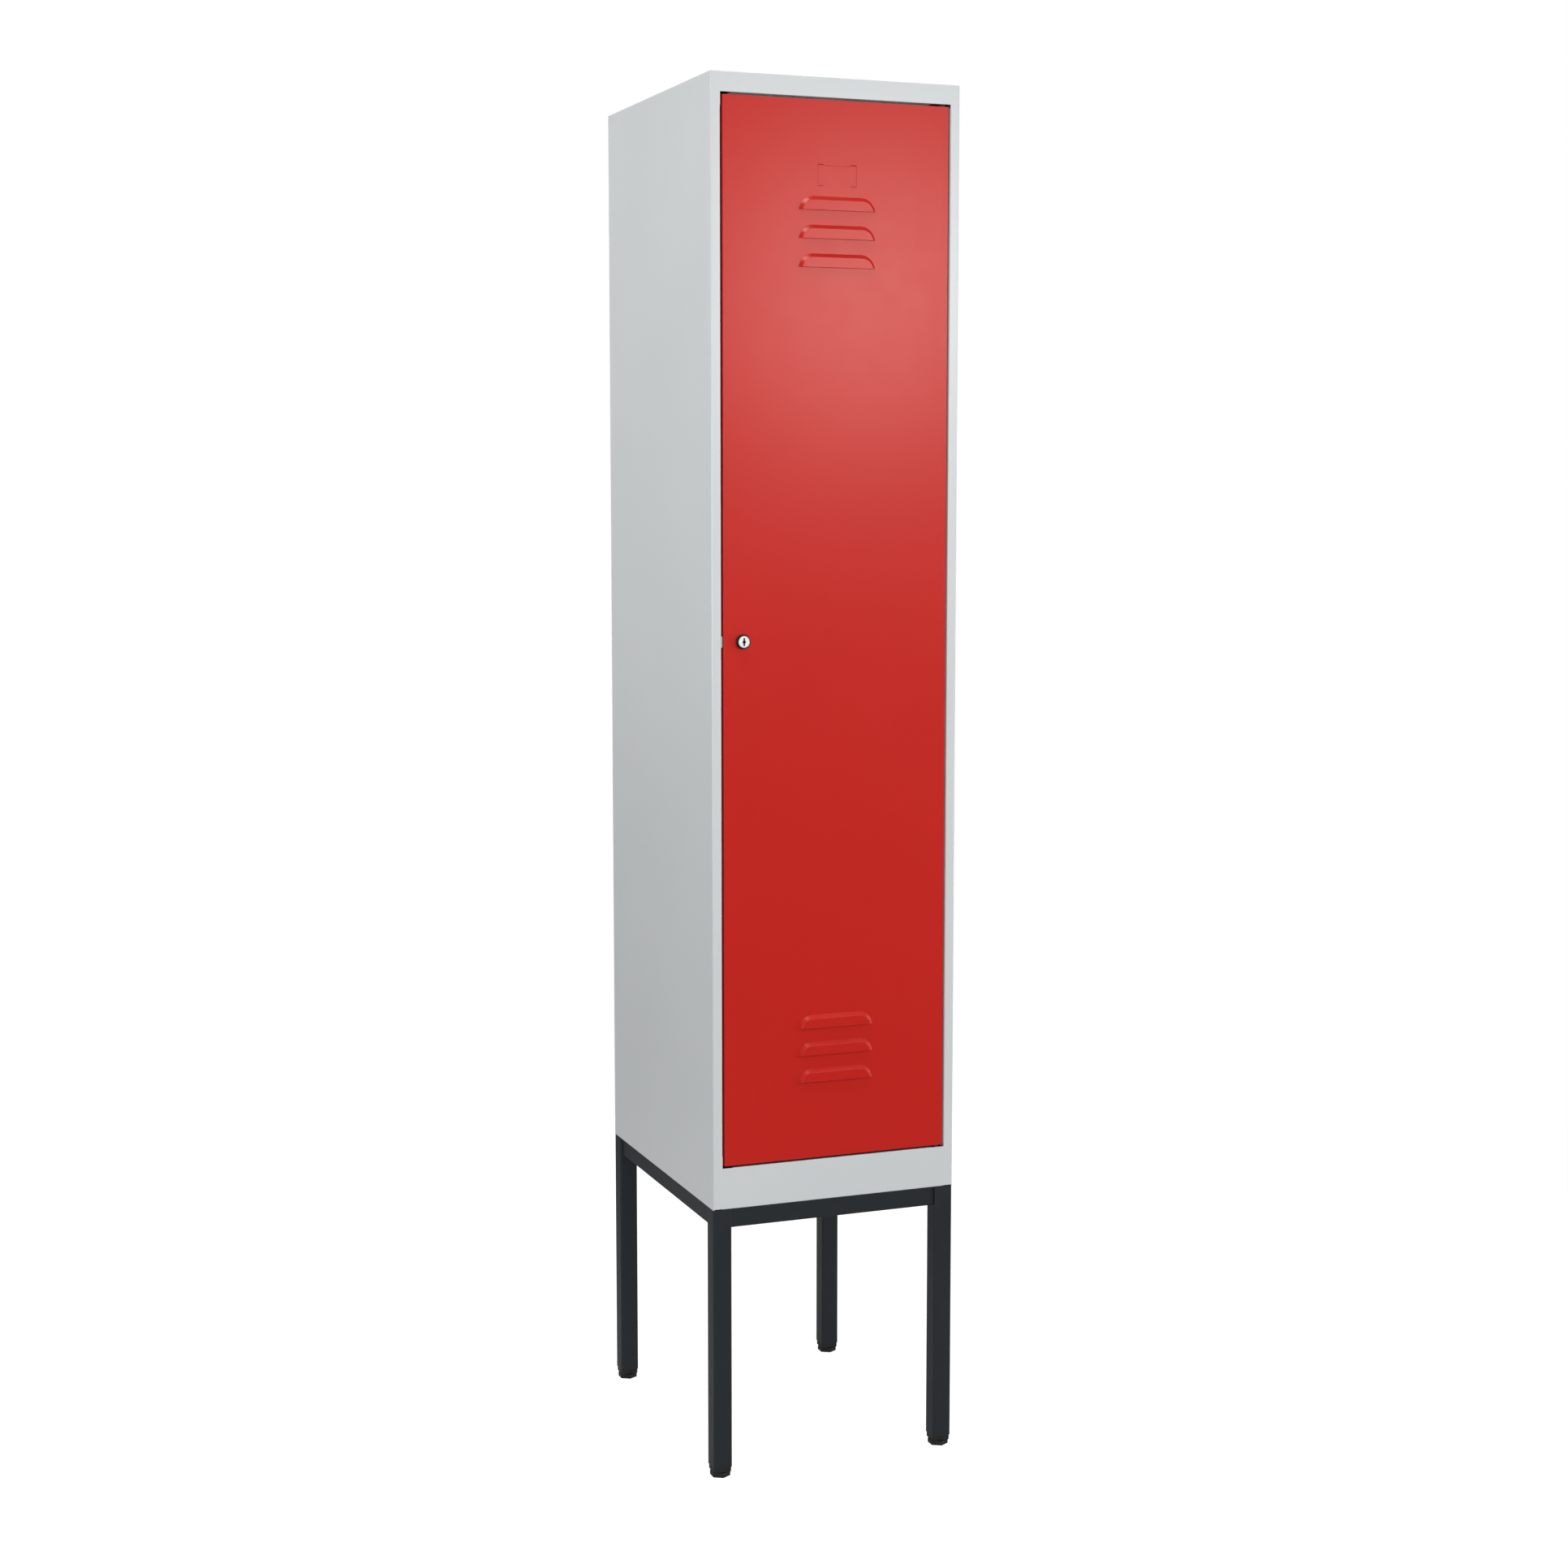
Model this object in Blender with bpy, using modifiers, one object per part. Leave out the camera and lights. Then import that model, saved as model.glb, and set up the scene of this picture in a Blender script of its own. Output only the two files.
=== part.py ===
"""A one-door metal locker on a tall tube base, standing on the floor with its front towards -Y."""

import math

import bmesh
import bpy
from mathutils import Matrix, Vector

# Cabinet, in metres
WIDTH = 0.400
DEPTH = 0.500
CABINET_HEIGHT = 1.700
BASE_HEIGHT = 0.424
SHEET = 0.001
BEND = 0.0005
FIT = 0.0003
BEND_STEPS = 3

# Front frame around the door
STILE = 0.015
TOP_RAIL = 0.029
BOTTOM_RAIL = 0.064
STILE_STEP = 0.0013
STOP_LIP = 0.012
HINGE_JAMB = 0.022
LEFT_JAMB_RELIEF = 0.020
RIGHT_JAMB_RELIEF = 0.005
LEFT_RAIL_RELIEF = 0.018
TOP_HINGE_RELIEF = 0.028
LOW_HINGE_RELIEF = 0.020
FLOOR_NOTCH = 0.022
REAR_FLANGE = 0.016
BASE_FLANGE = 0.026
FLOOR_LIP = 0.015

# Door
DOOR_GAP = 0.0033
DOOR_GAP_TOP = 0.0043
DOOR_GAP_LOW = 0.0033
DOOR_DEPTH = 0.0175
DOOR_RETURN = 0.012
DOOR_BUFFER = 0.0025
DOOR_EDGE = 0.0015
STIFFENER_WEB = 0.040
STIFFENER_FLANGE = 0.012
STIFFENER_DEPTH = 0.014
STIFFENER_FROM_HINGE = 0.066
STIFFENER_END = 0.040

# Pressed louvres in two groups, and label slits above the upper one
LOUVRE_WIDTH = 0.1235
LOUVRE_HEIGHT = 0.020
LOUVRE_CORNER = 0.0192
LOUVRE_SLOPE = 0.0047
LOUVRE_PROUD = 0.005
LOUVRE_SLIT = 0.0005
LOUVRE_PITCH = 0.042
LOUVRES_IN_GROUP = 3
LOUVRE_CORNER_STEPS = 6
LOUVRES_ABOVE_DOOR_FOOT = 0.1199
LOUVRES_BELOW_DOOR_TOP = 0.1401
LABEL_WIDTH = 0.062
LABEL_HEIGHT = 0.032
LABEL_TAB = 0.009
LABEL_SLIT = 0.0012
LABEL_ABOVE_LOUVRES = 0.0154

# Hinge pivots
PIVOT_FROM_EDGE = 0.009
PIVOT_FROM_FRONT = 0.007
PIVOT_RADIUS = 0.003
PIVOT_HEAD_RADIUS = 0.005
PIVOT_HEAD = 0.003
PIVOT_REACH = 0.009
BEARING_HEIGHT = 0.014
COLLAR_RADIUS = 0.006

# Cylinder lock
LOCK_FROM_EDGE = 0.0305
LOCK_PROUD = 0.0076
COLLAR_EDGE = 0.0012
LOCK_COLLAR_RADIUS = 0.011
LOCK_FACE_RADIUS = 0.0088
LOCK_FACE_DEPTH = 0.003
LOCK_FACE_RECESS = 0.0006
BARREL_RADIUS = 0.0095
PLUG_RADIUS = 0.007
NUT_RADIUS = 0.014
NUT_THICKNESS = 0.004
KEY_SLOT_HEIGHT = 0.012
KEY_SLOT_WIDTH = 0.0024
KEY_HOLE_RADIUS = 0.0025
KEY_SLOT_DEPTH = 0.006
CAM_LENGTH = 0.029
CAM_WIDTH = 0.016
CAM_THICKNESS = 0.002
CAM_CLEARANCE = 0.0015
DRIVE_SQUARE = 0.006
CAM_SCREW_RADIUS = 0.0016
CAM_SCREW_REACH = 0.006
CAM_SCREW_HEAD_RADIUS = 0.005
CAM_SCREW_HEAD = 0.0022
KEEP_HEIGHT = 0.0167
KEEP_THICKNESS = 0.0012

# Rubber buffers on the stop lip
BUFFER_RADIUS = 0.004
BUFFER_STEM_RADIUS = 0.0018
BUFFER_HEAD_RADIUS = 0.0028
BUFFER_HEAD = 0.002
BUFFER_FROM_END = 0.150

# Inside fittings
SHELF_DROP = 0.300
SHELF_FOLD = 0.025
SHELF_RETURN = 0.012
SHELF_SETBACK = 0.034
CLOTHES_RAIL_HEIGHT = 0.030
CLOTHES_RAIL_WIDTH = 0.015
CLOTHES_RAIL_WALL = 0.0012
CLOTHES_RAIL_DROP = 0.075
SOCKET_WALL = 0.004
SOCKET_DEPTH = 0.012
SOCKET_BASE = 0.003
HOOK_WIRE_RADIUS = 0.0025
HOOK_CURL_RADIUS = 0.016
HOOK_DROP = 0.050
HOOK_FRONT_LEG = 0.012
HOOK_SPACING = 0.090
HOOK_ARC_STEPS = 8

# Tube base
LEG = 0.030
LEG_WALL = 0.0015
LEG_CORNER = 0.003
BASE_RAIL_HEIGHT = 0.030
BASE_RAIL_WIDTH = 0.022
BASE_RAIL_INSET = 0.004
BASE_RAIL_CORNER = 0.002
PLUG_FLANGE = 0.0085
PLUG_INSET = 0.0009
PLUG_SPIGOT = 0.018
PLUG_EDGE = 0.002
FOOT_HEIGHT = 0.007
FOOT_RADIUS = 0.015
FOOT_EDGE = 0.0006
FOOT_SIDES = 6
STUD_RADIUS = 0.004
STUD_LENGTH = 0.032
BOLT_SPACING = 0.200
BOLT_RADIUS = 0.003
BOLT_REACH = 0.010
BOLT_HEAD_RADIUS = 0.006
BOLT_HEAD = 0.0035

ROUND_STEPS = 24
SMALL_ROUND_STEPS = 16
CORNER_STEPS = 3
CUT_MARGIN = 0.002

# Planes and edges worked out from the sizes above
LEFT = -WIDTH / 2
RIGHT = WIDTH / 2
FRONT = (LOCK_PROUD - DEPTH) / 2
BACK = FRONT + DEPTH
BOTTOM = BASE_HEIGHT
TOP = BOTTOM + CABINET_HEIGHT
FOLD = BEND + SHEET
INNER_LEFT = LEFT + SHEET + FIT
INNER_RIGHT = RIGHT - SHEET - FIT
BACK_FACE = BACK - SHEET - FIT
INNER_BACK = BACK_FACE - SHEET - FIT
OPEN_LEFT = LEFT + STILE
OPEN_RIGHT = RIGHT - STILE
OPEN_LOW = BOTTOM + BOTTOM_RAIL
OPEN_HIGH = TOP - TOP_RAIL
STOP_FACE = FRONT + DOOR_DEPTH + DOOR_BUFFER
DOOR_LEFT = OPEN_LEFT + DOOR_GAP
DOOR_RIGHT = OPEN_RIGHT - DOOR_GAP
DOOR_LOW = OPEN_LOW + DOOR_GAP_LOW
DOOR_HIGH = OPEN_HIGH - DOOR_GAP_TOP
DOOR_BACK = FRONT + DOOR_DEPTH
SKIN_BACK = FRONT + SHEET + FIT
PIVOT_X = DOOR_RIGHT - PIVOT_FROM_EDGE
PIVOT_Y = FRONT + PIVOT_FROM_FRONT
LOCK_X = DOOR_LEFT + LOCK_FROM_EDGE
LOCK_Z = (DOOR_LOW + DOOR_HIGH) / 2
UPPER_LOUVRES_TOP = DOOR_HIGH - LOUVRES_BELOW_DOOR_TOP
UPPER_LOUVRES_LOW = UPPER_LOUVRES_TOP - LOUVRE_HEIGHT - (LOUVRES_IN_GROUP - 1) * LOUVRE_PITCH
CAM_FRONT = STOP_FACE + SHEET + CAM_CLEARANCE
SHELF_TOP = TOP - SHELF_DROP
SHELF_FRONT = FRONT + SHELF_SETBACK
CLOTHES_RAIL_Y = (SHELF_FRONT + INNER_BACK) / 2
CLOTHES_RAIL_Z = SHELF_TOP - CLOTHES_RAIL_DROP
LEG_LOW = FOOT_HEIGHT + PLUG_FLANGE + 2 * FIT
LEG_HIGH = BOTTOM - FIT
BASE_RAIL_MID = BASE_RAIL_INSET + BASE_RAIL_WIDTH / 2

# Directions of a flat outline's own x, y and thickness
ALONG_Z = Matrix.Identity(3)
ALONG_X = Matrix(((0, 0, 1), (1, 0, 0), (0, 1, 0)))
ALONG_Y = Matrix(((1, 0, 0), (0, 0, -1), (0, 1, 0)))

for old in list(bpy.data.objects):
    bpy.data.objects.remove(old, do_unlink=True)


def new_collection(name):
    collection = bpy.data.collections.new(name)
    bpy.context.scene.collection.children.link(collection)
    return collection


parts = new_collection("locker")
helpers = new_collection("cutters")


def finish(name, colour, roughness, metallic=0.0):
    material = bpy.data.materials.new(name)
    material.use_nodes = True
    shader = material.node_tree.nodes["Principled BSDF"]
    shader.inputs["Base Color"].default_value = (*colour, 1.0)
    shader.inputs["Roughness"].default_value = roughness
    shader.inputs["Metallic"].default_value = metallic
    return material


GREY_PAINT = finish("light_grey_paint", (0.60, 0.62, 0.63), 0.45)
RED_PAINT = finish("red_paint", (0.50, 0.025, 0.02), 0.40)
DARK_PAINT = finish("anthracite_paint", (0.028, 0.032, 0.036), 0.50)
BLACK_PLASTIC = finish("black_plastic", (0.012, 0.012, 0.012), 0.55)
BLACK_RUBBER = finish("black_rubber", (0.02, 0.02, 0.02), 0.85)
CHROME = finish("chrome", (0.80, 0.80, 0.80), 0.15, 1.0)
STEEL = finish("zinc_plated_steel", (0.62, 0.62, 0.60), 0.35, 1.0)


def as_part(name, mesh, material):
    obj = bpy.data.objects.new(name, mesh)
    mesh.materials.clear()
    mesh.materials.append(material)
    parts.objects.link(obj)
    return obj


def as_cutter(name, mesh):
    obj = bpy.data.objects.new(name, mesh)
    obj.hide_render = True
    obj.display_type = "WIRE"
    helpers.objects.link(obj)
    return obj


def mesh_from(name, shape):
    mesh = bpy.data.meshes.new(name)
    bmesh.ops.recalc_face_normals(shape, faces=shape.faces)
    shape.to_mesh(mesh)
    shape.free()
    return mesh


def add_box(shape, low, high):
    size = Vector(high) - Vector(low)
    middle = (Vector(high) + Vector(low)) / 2
    place = Matrix.Translation(middle) @ Matrix.Diagonal((*size, 1))
    return bmesh.ops.create_cube(shape, size=1, matrix=place)["verts"]


def add_cylinder(shape, start, end, radius, steps=SMALL_ROUND_STEPS):
    run = Vector(end) - Vector(start)
    turn = Vector((0, 0, 1)).rotation_difference(run).to_matrix().to_4x4()
    place = Matrix.Translation((Vector(start) + Vector(end)) / 2) @ turn
    bmesh.ops.create_cone(
        shape,
        cap_ends=True,
        segments=steps,
        radius1=radius,
        radius2=radius,
        depth=run.length,
        matrix=place,
    )


def box_mesh(name, low, high):
    shape = bmesh.new()
    add_box(shape, low, high)
    return mesh_from(name, shape)


def boolean(obj, other, operation):
    modifier = obj.modifiers.new(f"{operation.lower()} {other.name}", "BOOLEAN")
    modifier.operation = operation
    modifier.object = other
    modifier.solver = "EXACT"


def cut(obj, cutter):
    boolean(obj, cutter, "DIFFERENCE")


def join(obj, other):
    boolean(obj, other, "UNION")


def bevel(obj, width, segments=2):
    modifier = obj.modifiers.new("rounded edges", "BEVEL")
    modifier.width = width
    modifier.segments = segments
    modifier.limit_method = "ANGLE"


def arc(centre, radius, start, end, steps):
    """Points of an arc in a plane, with angles in degrees."""
    angles = [math.radians(start + (end - start) * step / steps) for step in range(steps + 1)]
    return [(centre[0] + radius * math.cos(a), centre[1] + radius * math.sin(a)) for a in angles]


def rounded_rectangle(centre, width, height, radius):
    right = width / 2 - radius
    high = height / 2 - radius
    corners = ((right, high, 0), (-right, high, 90), (-right, -high, 180), (right, -high, 270))
    points = []
    for x, y, start in corners:
        middle = (centre[0] + x, centre[1] + y)
        points += arc(middle, radius, start, start + 90, CORNER_STEPS)
    return points


def upright_oval(centre, width, height):
    """A stadium outline, its straight sides upright."""
    rise = (height - width) / 2
    top = arc((centre[0], centre[1] + rise), width / 2, 0, 180, SMALL_ROUND_STEPS // 2)
    low = arc((centre[0], centre[1] - rise), width / 2, 180, 360, SMALL_ROUND_STEPS // 2)
    return top + low


def outline_mesh(name, outlines, start, end, plane):
    """A solid drawn from start to end along its plane's normal. An inner outline is a hole."""
    curve = bpy.data.curves.new(name, "CURVE")
    curve.dimensions = "2D"
    curve.fill_mode = "BOTH"
    curve.extrude = (end - start) / 2
    for points in outlines:
        spline = curve.splines.new("POLY")
        spline.points.add(len(points) - 1)
        for point, (x, y) in zip(spline.points, points):
            point.co = (x, y, 0, 1)
        spline.use_cyclic_u = True
    guide = bpy.data.objects.new(name, curve)
    helpers.objects.link(guide)
    graph = bpy.context.evaluated_depsgraph_get()
    mesh = bpy.data.meshes.new_from_object(guide.evaluated_get(graph))
    bpy.data.objects.remove(guide, do_unlink=True)
    shape = bmesh.new()
    shape.from_mesh(mesh)
    bpy.data.meshes.remove(mesh)
    bmesh.ops.remove_doubles(shape, verts=shape.verts, dist=0.00001)
    lift = Matrix.Translation((0, 0, (start + end) / 2))
    bmesh.ops.transform(shape, matrix=plane.to_4x4() @ lift, verts=shape.verts)
    return mesh_from(name, shape)


def turned(name, profile, place, steps, material, closed=False):
    """A turned solid. The profile is radius and height, its outer side running down."""
    shape = bmesh.new()
    points = [shape.verts.new((radius, 0, height)) for radius, height in profile]
    for pair in zip(points, points[1:]):
        shape.edges.new(pair)
    if closed:
        shape.edges.new((points[-1], points[0]))
    mesh = bpy.data.meshes.new(name)
    shape.to_mesh(mesh)
    shape.free()
    obj = as_part(name, mesh, material)
    obj.matrix_world = place
    screw = obj.modifiers.new("turn", "SCREW")
    screw.steps = steps
    screw.render_steps = steps
    screw.use_merge_vertices = True
    screw.merge_threshold = 0.00001
    return obj


def facing_front(x, z):
    """Places a turned solid with its height towards the viewer, from the front plane."""
    return Matrix.Translation((x, FRONT, z)) @ Matrix.Rotation(math.pi / 2, 4, "X")


def bend_points(path):
    """The path of one face of a sheet, its square folds rounded. The sheet lies on the left."""
    points = [Vector(path[0])]
    for before, corner, after in zip(path, path[1:], path[2:]):
        corner = Vector(corner)
        inward = (corner - Vector(before)).normalized()
        outward = (Vector(after) - corner).normalized()
        turn = inward.cross(outward)
        if abs(turn) < 0.001:
            points.append(corner)
            continue
        radius = FOLD if turn > 0 else BEND
        for step in range(BEND_STEPS + 1):
            angle = math.pi / 2 * step / BEND_STEPS
            back = inward * radius * (1 - math.sin(angle))
            on = outward * radius * (1 - math.cos(angle))
            points.append(corner - back + on)
    points.append(Vector(path[-1]))
    return points


def folded_surface(path, levels, plane, missing=None):
    """One face of a folded sheet, drawn through the levels, without the faces that missing() names."""
    shape = bmesh.new()
    points = bend_points(path)
    levels = sorted({round(level, 7) for level in levels})
    row = [shape.verts.new(plane @ Vector((p.x, p.y, levels[0]))) for p in points]
    edges = [shape.edges.new(pair) for pair in zip(row, row[1:])]
    for low, high in zip(levels, levels[1:]):
        grown = bmesh.ops.extrude_edge_only(shape, edges=edges)["geom"]
        fresh = {item for item in grown if isinstance(item, bmesh.types.BMVert)}
        bmesh.ops.translate(shape, verts=list(fresh), vec=plane @ Vector((0, 0, high - low)))
        lines = [item for item in grown if isinstance(item, bmesh.types.BMEdge)]
        edges = [line for line in lines if fresh.issuperset(line.verts)]
    shape.faces.ensure_lookup_table()
    shape.normal_update()
    along = points[1] - points[0]
    outer = plane @ Vector((along.y, -along.x, 0))
    first = min(shape.faces, key=lambda face: (face.calc_center_median() - row[0].co).length)
    if first.normal.dot(outer) < 0:
        bmesh.ops.reverse_faces(shape, faces=shape.faces)
    if missing:
        back = plane.transposed()
        gone = [face for face in shape.faces if missing(*(back @ face.calc_center_median()))]
        bmesh.ops.delete(shape, geom=gone, context="FACES")
    return shape


def sheet_part(name, surface, material):
    mesh = bpy.data.meshes.new(name)
    surface.to_mesh(mesh)
    surface.free()
    obj = as_part(name, mesh, material)
    wall = obj.modifiers.new("sheet", "SOLIDIFY")
    wall.thickness = SHEET
    wall.offset = -1
    wall.use_even_offset = True
    return obj


def widen_stile_ends(surface, tangent, reach):
    """Where the jamb is cut back, the stile runs on flat to the line of the opening."""
    ends = [
        edge
        for edge in surface.edges
        if edge.is_boundary
        and all(abs(v.co.x - tangent) < 0.00001 and abs(v.co.y - FRONT) < 0.00001 for v in edge.verts)
    ]
    grown = bmesh.ops.extrude_edge_only(surface, edges=ends)["geom"]
    fresh = [item for item in grown if isinstance(item, bmesh.types.BMVert)]
    bmesh.ops.translate(surface, verts=fresh, vec=(reach, 0, 0))


def side_panel(name, path, relief, is_past_stile, tangent, reach):
    """A side with its rear flange, front stile and jamb. The jamb stops short of the opening's corners."""
    jamb_low = OPEN_LOW + relief
    jamb_high = OPEN_HIGH - relief
    stile_low = BOTTOM + STILE_STEP

    def missing(x, y, z):
        if is_past_stile(x) and y < FRONT + DEPTH / 2:
            return not jamb_low < z < jamb_high
        return y < FRONT + SHEET / 10 and z < stile_low

    surface = folded_surface(path, (BOTTOM, stile_low, jamb_low, jamb_high, TOP), ALONG_Z, missing)
    widen_stile_ends(surface, tangent, reach)
    return sheet_part(name, surface, GREY_PAINT)


def left_side():
    path = (
        (LEFT + REAR_FLANGE, BACK),
        (LEFT, BACK),
        (LEFT, FRONT),
        (OPEN_LEFT, FRONT),
        (OPEN_LEFT, STOP_FACE),
        (OPEN_LEFT + STOP_LIP, STOP_FACE),
    )
    tangent = OPEN_LEFT - FOLD
    return side_panel("left_side_panel", path, LEFT_JAMB_RELIEF, lambda x: x > tangent, tangent, FOLD)


def right_side():
    path = (
        (OPEN_RIGHT, FRONT + HINGE_JAMB),
        (OPEN_RIGHT, FRONT),
        (RIGHT, FRONT),
        (RIGHT, BACK),
        (RIGHT - REAR_FLANGE, BACK),
    )
    tangent = OPEN_RIGHT + FOLD
    return side_panel("right_side_panel", path, RIGHT_JAMB_RELIEF, lambda x: x < tangent, tangent, -FOLD)


def top_panel():
    """The roof, folded down into the top rail, then back and down into the stop that the door meets."""
    path = (
        (BACK, TOP - REAR_FLANGE),
        (BACK, TOP),
        (FRONT, TOP),
        (FRONT, OPEN_HIGH),
        (STOP_FACE, OPEN_HIGH),
        (STOP_FACE, OPEN_HIGH - STOP_LIP),
    )
    rail_left = OPEN_LEFT + FIT
    rail_right = OPEN_RIGHT - FIT
    flange_left = LEFT + REAR_FLANGE + FIT
    flange_right = RIGHT - REAR_FLANGE - FIT
    stop_left = OPEN_LEFT + LEFT_RAIL_RELIEF
    stop_right = OPEN_RIGHT - TOP_HINGE_RELIEF

    def missing(y, z, x):
        if z > TOP - SHEET / 10:
            return False
        if y > BACK - FOLD:
            return not flange_left < x < flange_right
        if z < OPEN_HIGH + FOLD:
            return not stop_left < x < stop_right
        return not rail_left < x < rail_right

    left_levels = (INNER_LEFT, flange_left, rail_left, stop_left)
    right_levels = (stop_right, rail_right, flange_right, INNER_RIGHT)
    levels = left_levels + right_levels
    return sheet_part("top_panel", folded_surface(path, levels, ALONG_X, missing), GREY_PAINT)


def bottom_panel():
    """The floor, folded down into the bottom rail and back into the flange that is bolted to the base."""
    lip = INNER_BACK - SHEET
    path = (
        (lip, OPEN_LOW + FLOOR_LIP),
        (lip, OPEN_LOW),
        (FRONT + FLOOR_NOTCH, OPEN_LOW),
        (FRONT, OPEN_LOW),
        (FRONT, BOTTOM),
        (FRONT + BASE_FLANGE, BOTTOM),
    )
    rail_left = OPEN_LEFT + FIT
    rail_right = OPEN_RIGHT - FIT
    notch_left = OPEN_LEFT + LEFT_RAIL_RELIEF
    notch_right = OPEN_RIGHT - LOW_HINGE_RELIEF

    def missing(y, z, x):
        if z > OPEN_LOW - FOLD and y < FRONT + FLOOR_NOTCH:
            return not notch_left < x < notch_right
        if z < OPEN_LOW - FOLD:
            return not rail_left < x < rail_right
        return False

    levels = (INNER_LEFT, rail_left, notch_left, notch_right, rail_right, INNER_RIGHT)
    return sheet_part("bottom_panel", folded_surface(path, levels, ALONG_X, missing), GREY_PAINT)


def back_panel():
    path = (
        (BACK_FACE - BASE_FLANGE, BOTTOM),
        (BACK_FACE, BOTTOM),
        (BACK_FACE, TOP - SHEET - FIT),
    )
    return sheet_part("back_panel", folded_surface(path, (INNER_LEFT, INNER_RIGHT), ALONG_X), GREY_PAINT)


def hat_shelf():
    low = SHELF_TOP - SHELF_FOLD
    path = (
        (INNER_BACK, low),
        (INNER_BACK, SHELF_TOP),
        (SHELF_FRONT, SHELF_TOP),
        (SHELF_FRONT, low),
        (SHELF_FRONT + SHELF_RETURN, low),
    )
    return sheet_part("hat_shelf", folded_surface(path, (INNER_LEFT, INNER_RIGHT), ALONG_X), GREY_PAINT)


def clothes_rail():
    """An oval tube between two cups on the side panels."""
    middle = (CLOTHES_RAIL_Y, CLOTHES_RAIL_Z)
    outer = upright_oval(middle, CLOTHES_RAIL_WIDTH, CLOTHES_RAIL_HEIGHT)
    bore_width = CLOTHES_RAIL_WIDTH - 2 * CLOTHES_RAIL_WALL
    bore = upright_oval(middle, bore_width, CLOTHES_RAIL_HEIGHT - 2 * CLOTHES_RAIL_WALL)
    left_end = INNER_LEFT + SOCKET_BASE + FIT
    right_end = INNER_RIGHT - SOCKET_BASE - FIT
    mesh = outline_mesh("clothes_rail", (outer, bore), left_end, right_end, ALONG_X)
    as_part("clothes_rail", mesh, CHROME)

    rim_width = CLOTHES_RAIL_WIDTH + 2 * (SOCKET_WALL + FIT)
    rim = upright_oval(middle, rim_width, CLOTHES_RAIL_HEIGHT + 2 * (SOCKET_WALL + FIT))
    pocket_width = CLOTHES_RAIL_WIDTH + 2 * FIT
    pocket = upright_oval(middle, pocket_width, CLOTHES_RAIL_HEIGHT + 2 * FIT)
    pocket_ends = (INNER_LEFT + SOCKET_BASE, INNER_RIGHT - SOCKET_BASE)
    pocket_mesh = outline_mesh("rail_pocket", (pocket,), *pocket_ends, ALONG_X)
    pocket_cutter = as_cutter("rail_pocket", pocket_mesh)
    left_cup = (INNER_LEFT, INNER_LEFT + SOCKET_DEPTH)
    right_cup = (INNER_RIGHT - SOCKET_DEPTH, INNER_RIGHT)
    for side, (start, end) in (("left", left_cup), ("right", right_cup)):
        name = f"{side}_rail_socket"
        cut(as_part(name, outline_mesh(name, (rim,), start, end, ALONG_X), BLACK_PLASTIC), pocket_cutter)


def coat_hook(name, x):
    """A wire hook that hangs over the clothes rail and slides along it."""
    reach = CLOTHES_RAIL_WIDTH / 2 + FIT + HOOK_WIRE_RADIUS
    crown = CLOTHES_RAIL_Z + (CLOTHES_RAIL_HEIGHT - CLOTHES_RAIL_WIDTH) / 2
    over = arc((CLOTHES_RAIL_Y, crown), reach, 180, 0, HOOK_ARC_STEPS)
    curl_z = CLOTHES_RAIL_Z - HOOK_DROP
    curl_middle = (CLOTHES_RAIL_Y + reach - HOOK_CURL_RADIUS, curl_z)
    curl = arc(curl_middle, HOOK_CURL_RADIUS, 0, -180, HOOK_ARC_STEPS)
    tip = (curl[-1][0], curl_z + HOOK_CURL_RADIUS / 2)
    start = (CLOTHES_RAIL_Y - reach, crown - HOOK_FRONT_LEG)
    route = [start, *over, *curl, tip]
    wire = bpy.data.curves.new(name, "CURVE")
    wire.dimensions = "3D"
    wire.bevel_depth = HOOK_WIRE_RADIUS
    wire.bevel_resolution = 2
    wire.use_fill_caps = True
    spline = wire.splines.new("POLY")
    spline.points.add(len(route) - 1)
    for point, (y, z) in zip(spline.points, route):
        point.co = (0, y - CLOTHES_RAIL_Y, z - CLOTHES_RAIL_Z, 1)
    wire.materials.append(STEEL)
    hook = bpy.data.objects.new(name, wire)
    hook.location = (x, CLOTHES_RAIL_Y, CLOTHES_RAIL_Z)
    parts.objects.link(hook)


def coat_hooks():
    for number, name in enumerate(("left_coat_hook", "middle_coat_hook", "right_coat_hook")):
        coat_hook(name, (number - 1) * HOOK_SPACING)


def door_stop_buffers(left_panel):
    """Push-in rubber buttons on the stop lip, and the holes that hold them."""
    x = (DOOR_LEFT + OPEN_LEFT + STOP_LIP) / 2
    lip_front = STOP_FACE - FRONT
    lip_back = lip_front + SHEET
    holes = bmesh.new()
    heights = {"lower": OPEN_LOW + BUFFER_FROM_END, "upper": OPEN_HIGH - BUFFER_FROM_END}
    for side, z in heights.items():
        profile = (
            (0, -DOOR_DEPTH - FIT),
            (BUFFER_RADIUS, -DOOR_DEPTH - FIT),
            (BUFFER_RADIUS, FIT - lip_front),
            (BUFFER_STEM_RADIUS, FIT - lip_front),
            (BUFFER_STEM_RADIUS, -lip_back - FIT),
            (BUFFER_HEAD_RADIUS, -lip_back - FIT),
            (0, -lip_back - BUFFER_HEAD),
        )
        turned(f"{side}_door_buffer", profile, facing_front(x, z), SMALL_ROUND_STEPS, BLACK_RUBBER)
        start = (x, STOP_FACE - CUT_MARGIN, z)
        end = (x, STOP_FACE + SHEET + CUT_MARGIN, z)
        add_cylinder(holes, start, end, BUFFER_STEM_RADIUS + FIT)
    cut(left_panel, as_cutter("buffer_holes", mesh_from("buffer_holes", holes)))


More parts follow.
